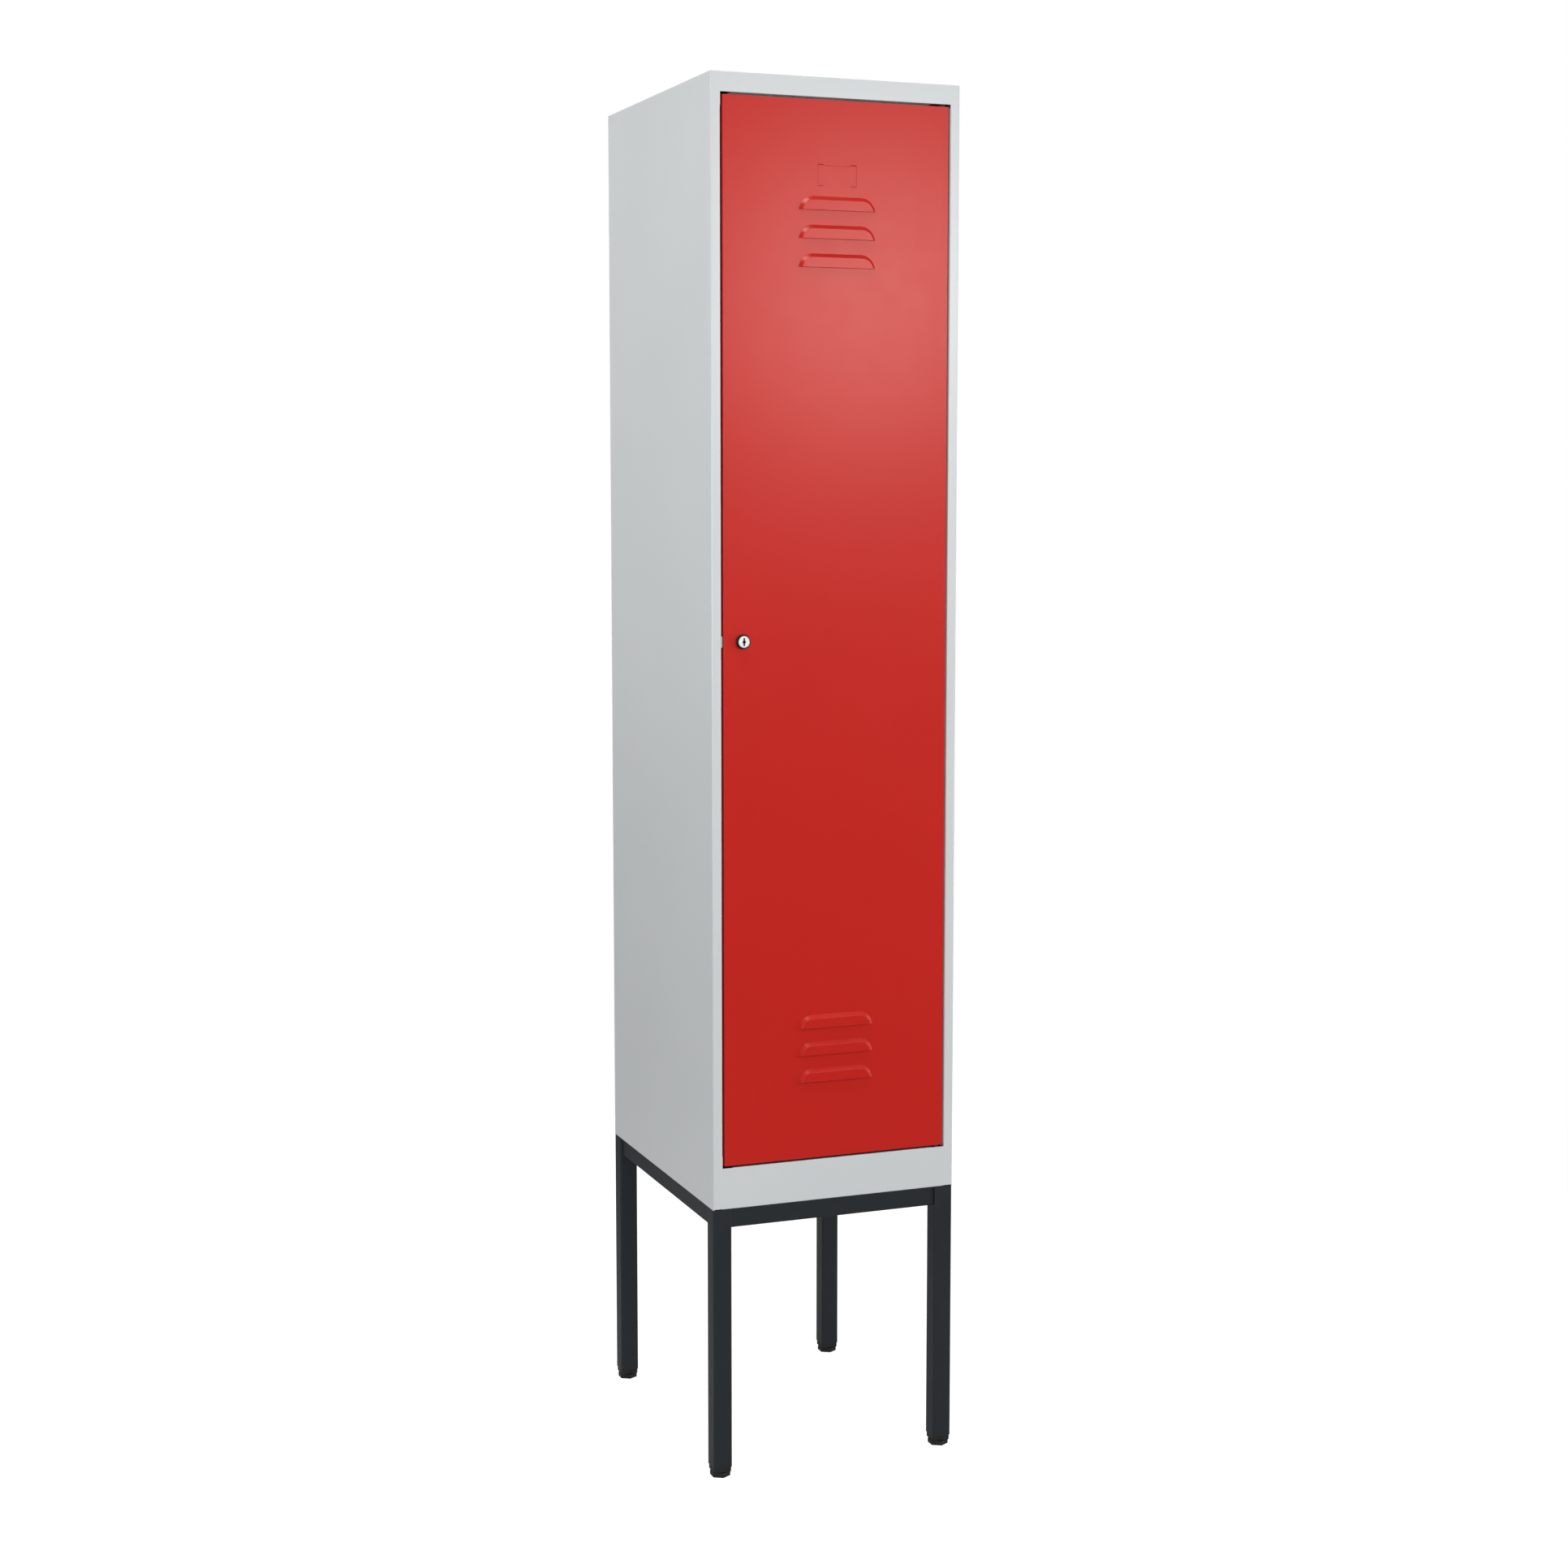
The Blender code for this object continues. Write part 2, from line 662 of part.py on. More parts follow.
def lock_keep():
    low = (OPEN_LEFT + FIT, FRONT, LOCK_Z - KEEP_HEIGHT / 2)
    high = (OPEN_LEFT + FIT + KEEP_THICKNESS, STOP_FACE - FIT, LOCK_Z + KEEP_HEIGHT / 2)
    bevel(as_part("lock_keep", box_mesh("lock_keep", low, high), GREY_PAINT), SHEET / 4, 1)


def hinge_bearing(name, left, y_end, low, high, collar=None):
    """A plastic block in the corner of the frame that carries a hinge pin."""
    right = OPEN_RIGHT - FIT
    block = as_part(name, box_mesh(name, (left, SKIN_BACK, low), (right, y_end, high)), BLACK_PLASTIC)
    if collar:
        ring = bmesh.new()
        add_cylinder(ring, (PIVOT_X, PIVOT_Y, collar[0]), (PIVOT_X, PIVOT_Y, collar[1]), COLLAR_RADIUS)
        join(block, as_cutter(f"{name}_collar", mesh_from(name, ring)))
    hole = bmesh.new()
    start = (PIVOT_X, PIVOT_Y, low - CUT_MARGIN)
    end = (PIVOT_X, PIVOT_Y, high + DOOR_GAP_LOW + CUT_MARGIN)
    add_cylinder(hole, start, end, PIVOT_RADIUS + FIT)
    cut(block, as_cutter(f"{name}_hole", mesh_from(name, hole)))


def hinge_bearings():
    upper_left = OPEN_RIGHT - TOP_HINGE_RELIEF + FIT
    lower_left = OPEN_RIGHT - LOW_HINGE_RELIEF + FIT
    upper_end = STOP_FACE - FIT
    lower_end = FRONT + FLOOR_NOTCH - FIT
    hinge_bearing("upper_hinge_bearing", upper_left, upper_end, OPEN_HIGH, OPEN_HIGH + BEARING_HEIGHT)
    collar = (OPEN_LOW - BEARING_HEIGHT / 2, DOOR_LOW - FIT)
    hinge_bearing("lower_hinge_bearing", lower_left, lower_end, OPEN_LOW - BEARING_HEIGHT, OPEN_LOW, collar)


def hinge_pins(door):
    """Headed pins through the door's top and bottom flanges, and the holes for them."""
    reach = {"upper": DOOR_GAP_TOP + PIVOT_REACH, "lower": DOOR_GAP_LOW + PIVOT_REACH}
    edge = {"upper": DOOR_HIGH, "lower": DOOR_LOW}
    flip = {"upper": Matrix.Identity(4), "lower": Matrix.Rotation(math.pi, 4, "X")}
    holes = bmesh.new()
    for side, z in edge.items():
        seat = -SHEET - FIT
        profile = (
            (0, reach[side]),
            (PIVOT_RADIUS, reach[side]),
            (PIVOT_RADIUS, seat),
            (PIVOT_HEAD_RADIUS, seat),
            (PIVOT_HEAD_RADIUS, seat - PIVOT_HEAD),
            (0, seat - PIVOT_HEAD),
        )
        place = Matrix.Translation((PIVOT_X, PIVOT_Y, z)) @ flip[side]
        turned(f"{side}_hinge_pin", profile, place, SMALL_ROUND_STEPS, STEEL)
        start = (PIVOT_X, PIVOT_Y, z - CUT_MARGIN)
        end = (PIVOT_X, PIVOT_Y, z + CUT_MARGIN)
        add_cylinder(holes, start, end, PIVOT_RADIUS + FIT)
    cut(door, as_cutter("hinge_pin_holes", mesh_from("hinge_pin_holes", holes)))


def louvre_outline(width, height, corner, bottom):
    """A straight foot, rounded shoulders and a straight top."""
    side = width / 2 - corner
    shoulder = bottom + height - corner
    left = arc((-side, shoulder), corner, 90, 180, LOUVRE_CORNER_STEPS)
    right = arc((side, shoulder), corner, 0, 90, LOUVRE_CORNER_STEPS)
    return [(width / 2, bottom), *right, *left, (-width / 2, bottom)]


def add_louvre(shape, width, height, corner, bottom, y_base, y_face):
    """A pressed hood, drawn from the door's skin to its own face, which is narrower but as low."""
    outline = louvre_outline(width, height, corner, bottom)
    foot = [shape.verts.new((x, y_base, z)) for x, z in outline]
    base = bmesh.ops.contextual_create(shape, geom=foot)["faces"]
    grown = bmesh.ops.extrude_face_region(shape, geom=base, use_keep_orig=True)["geom"]
    face = [item for item in grown if isinstance(item, bmesh.types.BMVert)]
    narrow = Vector(((width - 2 * LOUVRE_SLOPE) / width, 1, (height - LOUVRE_SLOPE) / height))
    bmesh.ops.scale(shape, vec=narrow, space=Matrix.Translation((0, 0, -bottom)), verts=face)
    bmesh.ops.translate(shape, verts=face, vec=(0, y_face - y_base, 0))


def press_louvres(door):
    hoods = bmesh.new()
    hollows = bmesh.new()
    hollow_width = LOUVRE_WIDTH - 2 * SHEET
    hollow_height = LOUVRE_HEIGHT - SHEET + LOUVRE_SLIT
    hollow_corner = LOUVRE_CORNER - SHEET
    face = FRONT - LOUVRE_PROUD
    for lowest in (DOOR_LOW + LOUVRES_ABOVE_DOOR_FOOT, UPPER_LOUVRES_LOW):
        for number in range(LOUVRES_IN_GROUP):
            bottom = lowest + number * LOUVRE_PITCH
            y_base = FRONT + SHEET / 2
            add_louvre(hoods, LOUVRE_WIDTH, LOUVRE_HEIGHT, LOUVRE_CORNER, bottom, y_base, face)
            low = bottom - LOUVRE_SLIT
            y_base = FRONT + SHEET + CUT_MARGIN
            add_louvre(hollows, hollow_width, hollow_height, hollow_corner, low, y_base, face + SHEET)
    join(door, as_cutter("louvre_hoods", mesh_from("louvre_hoods", hoods)))
    cut(door, as_cutter("louvre_hollows", mesh_from("louvre_hollows", hollows)))


def slit_label_holder(door):
    """Two facing slits that grip a label card."""
    low = UPPER_LOUVRES_TOP + LABEL_ABOVE_LOUVRES
    high = low + LABEL_HEIGHT
    brackets = []
    for side in (-1, 1):
        outer = side * LABEL_WIDTH / 2
        inner = outer - side * LABEL_SLIT
        tip = outer - side * LABEL_TAB
        bracket = [
            (tip, low),
            (outer, low),
            (outer, high),
            (tip, high),
            (tip, high - LABEL_SLIT),
            (inner, high - LABEL_SLIT),
            (inner, low + LABEL_SLIT),
            (tip, low + LABEL_SLIT),
        ]
        brackets.append(bracket)
    start = -FRONT - SHEET - CUT_MARGIN
    end = -FRONT + CUT_MARGIN
    cut(door, as_cutter("label_slits", outline_mesh("label_slits", brackets, start, end, ALONG_Y)))


def door_panel():
    """A pan with turned edges, its flanges returned at the back."""
    outer_low = (DOOR_LEFT, FRONT, DOOR_LOW)
    outer_high = (DOOR_RIGHT, DOOR_BACK, DOOR_HIGH)
    door = as_part("door_panel", box_mesh("door_panel", outer_low, outer_high), RED_PAINT)
    bevel(door, DOOR_EDGE)
    wall = Vector((SHEET, SHEET, SHEET))
    hollow_mesh = box_mesh("door_hollow", Vector(outer_low) + wall, Vector(outer_high) - wall)
    hollow = as_cutter("door_hollow", hollow_mesh)
    bevel(hollow, BEND, 1)
    cut(door, hollow)
    mouth_low = (DOOR_LEFT + DOOR_RETURN, DOOR_BACK - 2 * SHEET, DOOR_LOW + DOOR_RETURN)
    mouth_high = (DOOR_RIGHT - DOOR_RETURN, DOOR_BACK + CUT_MARGIN, DOOR_HIGH - DOOR_RETURN)
    cut(door, as_cutter("door_mouth", box_mesh("door_mouth", mouth_low, mouth_high)))
    press_louvres(door)
    slit_label_holder(door)
    lock_hole = bmesh.new()
    start = (LOCK_X, FRONT - CUT_MARGIN, LOCK_Z)
    end = (LOCK_X, FRONT + SHEET + CUT_MARGIN, LOCK_Z)
    add_cylinder(lock_hole, start, end, BARREL_RADIUS + FIT, ROUND_STEPS)
    cut(door, as_cutter("lock_hole", mesh_from("lock_hole", lock_hole)))
    return door


def door_stiffener():
    """A hat-shaped rib on the back of the door's skin."""
    middle = DOOR_RIGHT - STIFFENER_FROM_HINGE
    left = middle - STIFFENER_WEB / 2
    right = middle + STIFFENER_WEB / 2
    crest = SKIN_BACK + STIFFENER_DEPTH
    path = (
        (right + STIFFENER_FLANGE, SKIN_BACK + SHEET),
        (right, SKIN_BACK + SHEET),
        (right, crest),
        (left, crest),
        (left, SKIN_BACK + SHEET),
        (left - STIFFENER_FLANGE, SKIN_BACK + SHEET),
    )
    levels = (DOOR_LOW + STIFFENER_END, DOOR_HIGH - STIFFENER_END)
    sheet_part("door_stiffener", folded_surface(path, levels, ALONG_Z), RED_PAINT)


def lock_housing():
    """The black collar in front of the door and the barrel through it."""
    face = LOCK_PROUD
    seat = face - LOCK_FACE_DEPTH - LOCK_FACE_RECESS - FIT
    tail = FRONT - CAM_FRONT + SHEET
    profile = (
        (LOCK_FACE_RADIUS + FIT, face),
        (LOCK_COLLAR_RADIUS - COLLAR_EDGE, face),
        (LOCK_COLLAR_RADIUS, face - COLLAR_EDGE),
        (LOCK_COLLAR_RADIUS, FIT),
        (BARREL_RADIUS, FIT),
        (BARREL_RADIUS, tail),
        (PLUG_RADIUS + FIT, tail),
        (PLUG_RADIUS + FIT, seat),
        (LOCK_FACE_RADIUS + FIT, seat),
    )
    turned("lock_housing", profile, facing_front(LOCK_X, LOCK_Z), ROUND_STEPS, BLACK_PLASTIC, True)


def lock_nut():
    nut = bmesh.new()
    start = (LOCK_X, SKIN_BACK, LOCK_Z)
    end = (LOCK_X, SKIN_BACK + NUT_THICKNESS, LOCK_Z)
    add_cylinder(nut, start, end, NUT_RADIUS, 6)
    bore = bmesh.new()
    start = (LOCK_X, FRONT - CUT_MARGIN, LOCK_Z)
    end = (LOCK_X, SKIN_BACK + NUT_THICKNESS + CUT_MARGIN, LOCK_Z)
    add_cylinder(bore, start, end, BARREL_RADIUS + FIT, ROUND_STEPS)
    obj = as_part("lock_nut", mesh_from("lock_nut", nut), STEEL)
    cut(obj, as_cutter("lock_nut_bore", mesh_from("lock_nut_bore", bore)))


def lock_plug():
    """The turning plug, with its key slot in front and a square drive behind."""
    face = LOCK_PROUD - LOCK_FACE_RECESS
    shoulder = face - LOCK_FACE_DEPTH
    tail = FRONT - CAM_FRONT + FIT
    profile = (
        (0, face),
        (LOCK_FACE_RADIUS, face),
        (LOCK_FACE_RADIUS, shoulder),
        (PLUG_RADIUS, shoulder),
        (PLUG_RADIUS, tail),
        (0, tail),
    )
    plug = turned("lock_plug", profile, facing_front(LOCK_X, LOCK_Z), ROUND_STEPS, CHROME)
    half = DRIVE_SQUARE / 2
    drive_end = CAM_FRONT + CAM_THICKNESS
    low = (LOCK_X - half, CAM_FRONT - CUT_MARGIN, LOCK_Z - half)
    high = (LOCK_X + half, drive_end, LOCK_Z + half)
    join(plug, as_cutter("lock_drive", box_mesh("lock_drive", low, high)))

    front = FRONT - LOCK_PROUD
    slot_low = (LOCK_X - KEY_SLOT_WIDTH / 2, front - CUT_MARGIN, LOCK_Z - KEY_SLOT_HEIGHT / 2)
    slot_high = (LOCK_X + KEY_SLOT_WIDTH / 2, front + KEY_SLOT_DEPTH, LOCK_Z + KEY_SLOT_HEIGHT / 2)
    cut(plug, as_cutter("key_slot", box_mesh("key_slot", slot_low, slot_high)))
    hole = bmesh.new()
    end = (LOCK_X, front + KEY_SLOT_DEPTH + SHEET, LOCK_Z)
    add_cylinder(hole, (LOCK_X, front - CUT_MARGIN, LOCK_Z), end, KEY_HOLE_RADIUS)
    cut(plug, as_cutter("key_hole", mesh_from("key_hole", hole)))

    thread = bmesh.new()
    start = (LOCK_X, drive_end - CAM_SCREW_REACH - CUT_MARGIN, LOCK_Z)
    end = (LOCK_X, drive_end + CUT_MARGIN, LOCK_Z)
    add_cylinder(thread, start, end, CAM_SCREW_RADIUS + FIT)
    cut(plug, as_cutter("cam_screw_hole", mesh_from("cam_screw_hole", thread)))


def lock_cam():
    """The blade behind the door. It points up when the door is free."""
    half = CAM_WIDTH / 2
    tip = arc((LOCK_X, LOCK_Z + CAM_LENGTH - half), half, 0, 180, SMALL_ROUND_STEPS // 2)
    heel = arc((LOCK_X, LOCK_Z), half, 180, 360, SMALL_ROUND_STEPS // 2)
    hole = DRIVE_SQUARE / 2 + FIT
    square = [
        (LOCK_X - hole, LOCK_Z - hole),
        (LOCK_X + hole, LOCK_Z - hole),
        (LOCK_X + hole, LOCK_Z + hole),
        (LOCK_X - hole, LOCK_Z + hole),
    ]
    mesh = outline_mesh("lock_cam", (tip + heel, square), -CAM_FRONT - CAM_THICKNESS, -CAM_FRONT, ALONG_Y)
    as_part("lock_cam", mesh, STEEL)


def cam_screw():
    seat = FRONT - CAM_FRONT - CAM_THICKNESS - FIT
    profile = (
        (0, seat + CAM_SCREW_REACH),
        (CAM_SCREW_RADIUS, seat + CAM_SCREW_REACH),
        (CAM_SCREW_RADIUS, seat),
        (CAM_SCREW_HEAD_RADIUS, seat),
        (CAM_SCREW_HEAD_RADIUS, seat - CAM_SCREW_HEAD / 2),
        (CAM_SCREW_HEAD_RADIUS / 2, seat - CAM_SCREW_HEAD),
        (0, seat - CAM_SCREW_HEAD),
    )
    turned("cam_screw", profile, facing_front(LOCK_X, LOCK_Z), SMALL_ROUND_STEPS, STEEL)


def leg_places():
    """The four corners, each with the middle of its leg."""
    left = LEFT + LEG / 2
    right = RIGHT - LEG / 2
    front = FRONT + LEG / 2
    rear = BACK - LEG / 2
    return {
        "front_left": (left, front),
        "front_right": (right, front),
        "rear_left": (left, rear),
        "rear_right": (right, rear),
    }


def tube_mesh(name, centre, width, height, corner, wall, start, end, plane):
    outer = rounded_rectangle(centre, width, height, corner)
    bore = rounded_rectangle(centre, width - 2 * wall, height - 2 * wall, corner - wall / 2)
    return outline_mesh(name, (outer, bore), start, end, plane)


def leg(name, middle):
    mesh = tube_mesh(name, middle, LEG, LEG, LEG_CORNER, LEG_WALL, LEG_LOW, LEG_HIGH, ALONG_Z)
    as_part(name, mesh, DARK_PAINT)


def leg_plug(name, middle):
    """The end plug: a flange under the tube, a spigot inside it, and a hole for the foot's stud."""
    flange = LEG - 2 * PLUG_INSET
    low = FOOT_HEIGHT + FIT
    high = low + PLUG_FLANGE
    outline = rounded_rectangle(middle, flange, flange, LEG_CORNER)
    plug = as_part(name, outline_mesh(name, (outline,), low, high, ALONG_Z), BLACK_PLASTIC)
    spigot_side = LEG - 2 * (LEG_WALL + FIT)
    spigot = rounded_rectangle(middle, spigot_side, spigot_side, LEG_CORNER)
    spigot_mesh = outline_mesh(name, (spigot,), low + PLUG_EDGE, high + PLUG_SPIGOT, ALONG_Z)
    join(plug, as_cutter(f"{name}_spigot", spigot_mesh))
    hole = bmesh.new()
    end = (*middle, high + PLUG_SPIGOT + CUT_MARGIN)
    add_cylinder(hole, (*middle, low - CUT_MARGIN), end, STUD_RADIUS + 2 * FIT)
    cut(plug, as_cutter(f"{name}_thread", mesh_from(name, hole)))


def levelling_foot(name, middle):
    """A hexagonal foot on a threaded stud, one corner to the front."""
    profile = (
        (0, FOOT_HEIGHT + STUD_LENGTH),
        (STUD_RADIUS, FOOT_HEIGHT + STUD_LENGTH),
        (STUD_RADIUS, FOOT_HEIGHT),
        (FOOT_RADIUS, FOOT_HEIGHT),
        (FOOT_RADIUS, FOOT_EDGE),
        (FOOT_RADIUS - FOOT_EDGE, 0),
        (0, 0),
    )
    place = Matrix.Translation((*middle, 0)) @ Matrix.Rotation(math.pi / 2, 4, "Z")
    turned(name, profile, place, FOOT_SIDES, BLACK_PLASTIC)


def base_rail(name, centre, start, end, plane):
    high = LEG_HIGH - BASE_RAIL_HEIGHT / 2
    middle = (centre, high)
    size = (BASE_RAIL_WIDTH, BASE_RAIL_HEIGHT)
    mesh = tube_mesh(name, middle, *size, BASE_RAIL_CORNER, LEG_WALL, start, end, plane)
    return as_part(name, mesh, DARK_PAINT)


def frame_bolts(panel, rail, row, y):
    """Two bolts through a cabinet flange into the base rail under it, and their holes."""
    holes = bmesh.new()
    for side, x in (("left", -BOLT_SPACING / 2), ("right", BOLT_SPACING / 2)):
        seat = SHEET + FIT
        profile = (
            (0, seat + BOLT_HEAD),
            (BOLT_HEAD_RADIUS / 2, seat + BOLT_HEAD),
            (BOLT_HEAD_RADIUS, seat + BOLT_HEAD / 2),
            (BOLT_HEAD_RADIUS, seat),
            (BOLT_RADIUS, seat),
            (BOLT_RADIUS, -BOLT_REACH),
            (0, -BOLT_REACH),
        )
        place = Matrix.Translation((x, y, BOTTOM))
        turned(f"{row}_{side}_frame_bolt", profile, place, SMALL_ROUND_STEPS, STEEL)
        start = (x, y, BOTTOM - BOLT_REACH - CUT_MARGIN)
        end = (x, y, BOTTOM + SHEET + CUT_MARGIN)
        add_cylinder(holes, start, end, BOLT_RADIUS + FIT)
    cutter = as_cutter(f"{row}_bolt_holes", mesh_from(f"{row}_bolt_holes", holes))
    cut(panel, cutter)
    cut(rail, cutter)


def base_frame(floor, back):
    for corner, middle in leg_places().items():
        leg(f"{corner}_leg", middle)
        leg_plug(f"{corner}_leg_plug", middle)
        levelling_foot(f"{corner}_levelling_foot", middle)
    across = (LEFT + LEG + FIT, RIGHT - LEG - FIT)
    along = (FIT + LEG - BACK, -FRONT - LEG - FIT)
    front_y = FRONT + BASE_RAIL_MID
    rear_y = BACK - BASE_RAIL_MID
    front_rail = base_rail("front_base_rail", front_y, *across, ALONG_X)
    rear_rail = base_rail("rear_base_rail", rear_y, *across, ALONG_X)
    base_rail("left_base_rail", LEFT + BASE_RAIL_MID, *along, ALONG_Y)
    base_rail("right_base_rail", RIGHT - BASE_RAIL_MID, *along, ALONG_Y)
    frame_bolts(floor, front_rail, "front", front_y)
    frame_bolts(back, rear_rail, "rear", rear_y)


def pivot(name, place, children, parent=None):
    """An empty on a joint's axis that carries the pieces that move there."""
    axis = bpy.data.objects.new(name, None)
    axis.empty_display_size = 0.05
    parts.objects.link(axis)
    axis.location = place
    held = [bpy.data.objects[child] for child in children]
    for obj in held:
        obj.parent = axis
        obj.matrix_parent_inverse = Matrix.Translation(place).inverted()
    if parent:
        axis.parent = parent
        axis.matrix_parent_inverse = Matrix.Translation(parent.location).inverted()
    return axis


left_panel = left_side()
right_side()
top_panel()
floor_panel = bottom_panel()
rear_panel = back_panel()
hat_shelf()
clothes_rail()
coat_hooks()
door_stop_buffers(left_panel)
lock_keep()
hinge_bearings()
door_pan = door_panel()
door_stiffener()
hinge_pins(door_pan)
lock_housing()
lock_nut()
lock_plug()
lock_cam()
cam_screw()
base_frame(floor_panel, rear_panel)

door_pieces = ["door_panel", "door_stiffener", "lock_housing", "lock_nut"]
door_pieces += ["upper_hinge_pin", "lower_hinge_pin"]
door_axis = pivot("door_axis", (PIVOT_X, PIVOT_Y, LOCK_Z), door_pieces)
pivot("lock_axis", (LOCK_X, FRONT, LOCK_Z), ("lock_plug", "lock_cam", "cam_screw"), door_axis)
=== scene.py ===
import math

import bmesh
import bpy
from mathutils import Matrix, Vector


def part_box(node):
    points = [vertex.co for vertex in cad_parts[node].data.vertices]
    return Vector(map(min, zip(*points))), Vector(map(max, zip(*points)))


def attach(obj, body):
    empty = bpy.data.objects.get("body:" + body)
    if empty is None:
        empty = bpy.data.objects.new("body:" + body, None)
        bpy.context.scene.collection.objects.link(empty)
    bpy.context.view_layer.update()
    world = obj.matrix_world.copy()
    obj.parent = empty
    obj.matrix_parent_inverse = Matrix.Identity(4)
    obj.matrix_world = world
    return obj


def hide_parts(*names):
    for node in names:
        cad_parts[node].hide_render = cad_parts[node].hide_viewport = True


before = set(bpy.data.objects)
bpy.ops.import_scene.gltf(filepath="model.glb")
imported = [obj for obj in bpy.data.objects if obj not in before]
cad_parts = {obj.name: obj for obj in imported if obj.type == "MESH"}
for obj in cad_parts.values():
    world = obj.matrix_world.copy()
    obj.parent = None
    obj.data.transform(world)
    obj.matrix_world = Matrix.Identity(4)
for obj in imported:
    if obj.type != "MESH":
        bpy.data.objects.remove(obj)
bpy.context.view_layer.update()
scene = bpy.context.scene
scene.view_settings.view_transform = "Standard"
print("locker: frame loaded,", len(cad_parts), "nodes")

# planes of the cabinet, in metres, the front towards -Y
cabinet = {
    "left": -0.2,
    "right": 0.2,
    "front": -0.2462,
    "back": 0.2538,
    "bottom": 0.424,
    "top": 2.124,
    "openLeft": -0.185,
    "openRight": 0.185,
    "openLow": 0.488,
    "openHigh": 2.095,
    "stopFace": -0.2262,
    "sheet": 0.001,
    "outerBend": 0.0017,
    "innerBend": 0.0007,
    "tightBend": 0.0008,
    "fit": 0.0003,
}
# how near counts as on a plane, and as on a point
planeSlack = 0.0001
pointSlack = 0.000001
arcSlack = 0.00002  # keeps neighbouring arcs from meeting in one point

shot = {
    "place": (-1.4659, -3.8029, 1.5226),
    "turn": 21.15,
    "tilt": 6.0,
    "lens": 58.28,
    "sensor": 36,
    "shift": (0.0020, -0.0199),
}
studio = {
    "horizon": 0.09,  # light from around and below
    "zenith": 0.34,  # light from above
    "skySpan": (-0.1, 0.9),
    "floorRadius": 4.0,
    "floorRough": 0.85,
    "floorTone": (0.28, 0.32),
    "floorFade": (0.7, 2.6),  # the paper thins out between these radii
    "floorLift": 0.84,  # keeps the paper white in the shot
    "floorGrain": {"Scale": 6.0, "Detail": 3.0},
    "boxes": (
        # name, place, aimed at, width, height, watts
        ("mainLeft", (-1.4, -2.9, 1.38), (0.0, -0.1, 1.35), 1.0, 1.2, 60),
        ("keyRight", (1.29, -3.16, 2.05), (0.1, -0.25, 1.80), 0.5, 0.5, 18.6),
        ("fillRight", (2.7, -1.6, 1.25), (0.1, -0.25, 1.3), 1.7, 1.8, 55),
        ("sideLeft", (-2.7, 1.1, 2.25), (-0.2, 0.15, 1.6), 3.4, 2.6, 76),
        ("backRight", (0.45, 3.1, 1.7), (0.0, 0.25, 1.3), 1.8, 1.8, 46),
        ("roofTop", (0.15, 0.75, 4.0), (0.0, 0.15, 2.1), 1.4, 1.4, 8),
        ("overhead", (-0.7, -0.75, 4.1), (0.0, -0.2, 1.4), 1.2, 1.2, 38),
    ),
}


def setCamera():
    data = bpy.data.cameras.new("shot")
    data.lens = shot["lens"]
    data.sensor_width = shot["sensor"]
    data.shift_x, data.shift_y = shot["shift"]
    camera = bpy.data.objects.new("shot", data)
    camera.location = shot["place"]
    camera.rotation_euler = (math.radians(90 - shot["tilt"]), 0, -math.radians(shot["turn"]))
    scene.collection.objects.link(camera)
    scene.camera = camera


def putNode(tree, kind, values=None, **settings):
    node = tree.nodes.new("ShaderNode" + kind)
    for key, value in settings.items():
        setattr(node, key, value)
    for key, value in (values or {}).items():
        node.inputs[key].default_value = value
    return node


def mapNode(tree, start, end=(0.0, 1.0)):
    values = dict(zip(("From Min", "From Max", "To Min", "To Max"), (*start, *end)))
    return putNode(tree, "MapRange", values)


def wire(tree, *runs):
    for start, output, end, entry in runs:
        tree.links.new(start.outputs[output], end.inputs[entry])


def setLights():
    for name, place, aim, width, height, watts in studio["boxes"]:
        data = bpy.data.lights.new(name, "AREA")
        data.shape = "RECTANGLE"
        data.size, data.size_y = width, height
        data.energy = watts
        lamp = bpy.data.objects.new(name, data)
        lamp.location = place
        lamp.rotation_euler = (Vector(aim) - Vector(place)).to_track_quat("-Z", "Y").to_euler()
        lamp.visible_camera = False
        scene.collection.objects.link(lamp)
    world = bpy.data.worlds.new("studio")
    scene.world = world
    world.use_nodes = True
    tree = world.node_tree
    tree.nodes.clear()
    where = putNode(tree, "TexCoord")
    split = putNode(tree, "SeparateXYZ")
    rise = mapNode(tree, studio["skySpan"], (studio["horizon"], studio["zenith"]))
    ray = putNode(tree, "LightPath")
    soft = putNode(tree, "Background", {"Color": (1, 1, 1, 1)})
    paper = putNode(tree, "Background", {"Color": (1, 1, 1, 1), "Strength": 1.0})
    pick = putNode(tree, "MixShader")
    out = putNode(tree, "OutputWorld")
    wire(
        tree,
        (where, "Generated", split, 0),
        (split, "Z", rise, "Value"),
        (rise, 0, soft, "Strength"),
        (ray, "Is Camera Ray", pick, 0),
        (soft, 0, pick, 1),
        (paper, 0, pick, 2),
        (pick, 0, out, 0),
    )


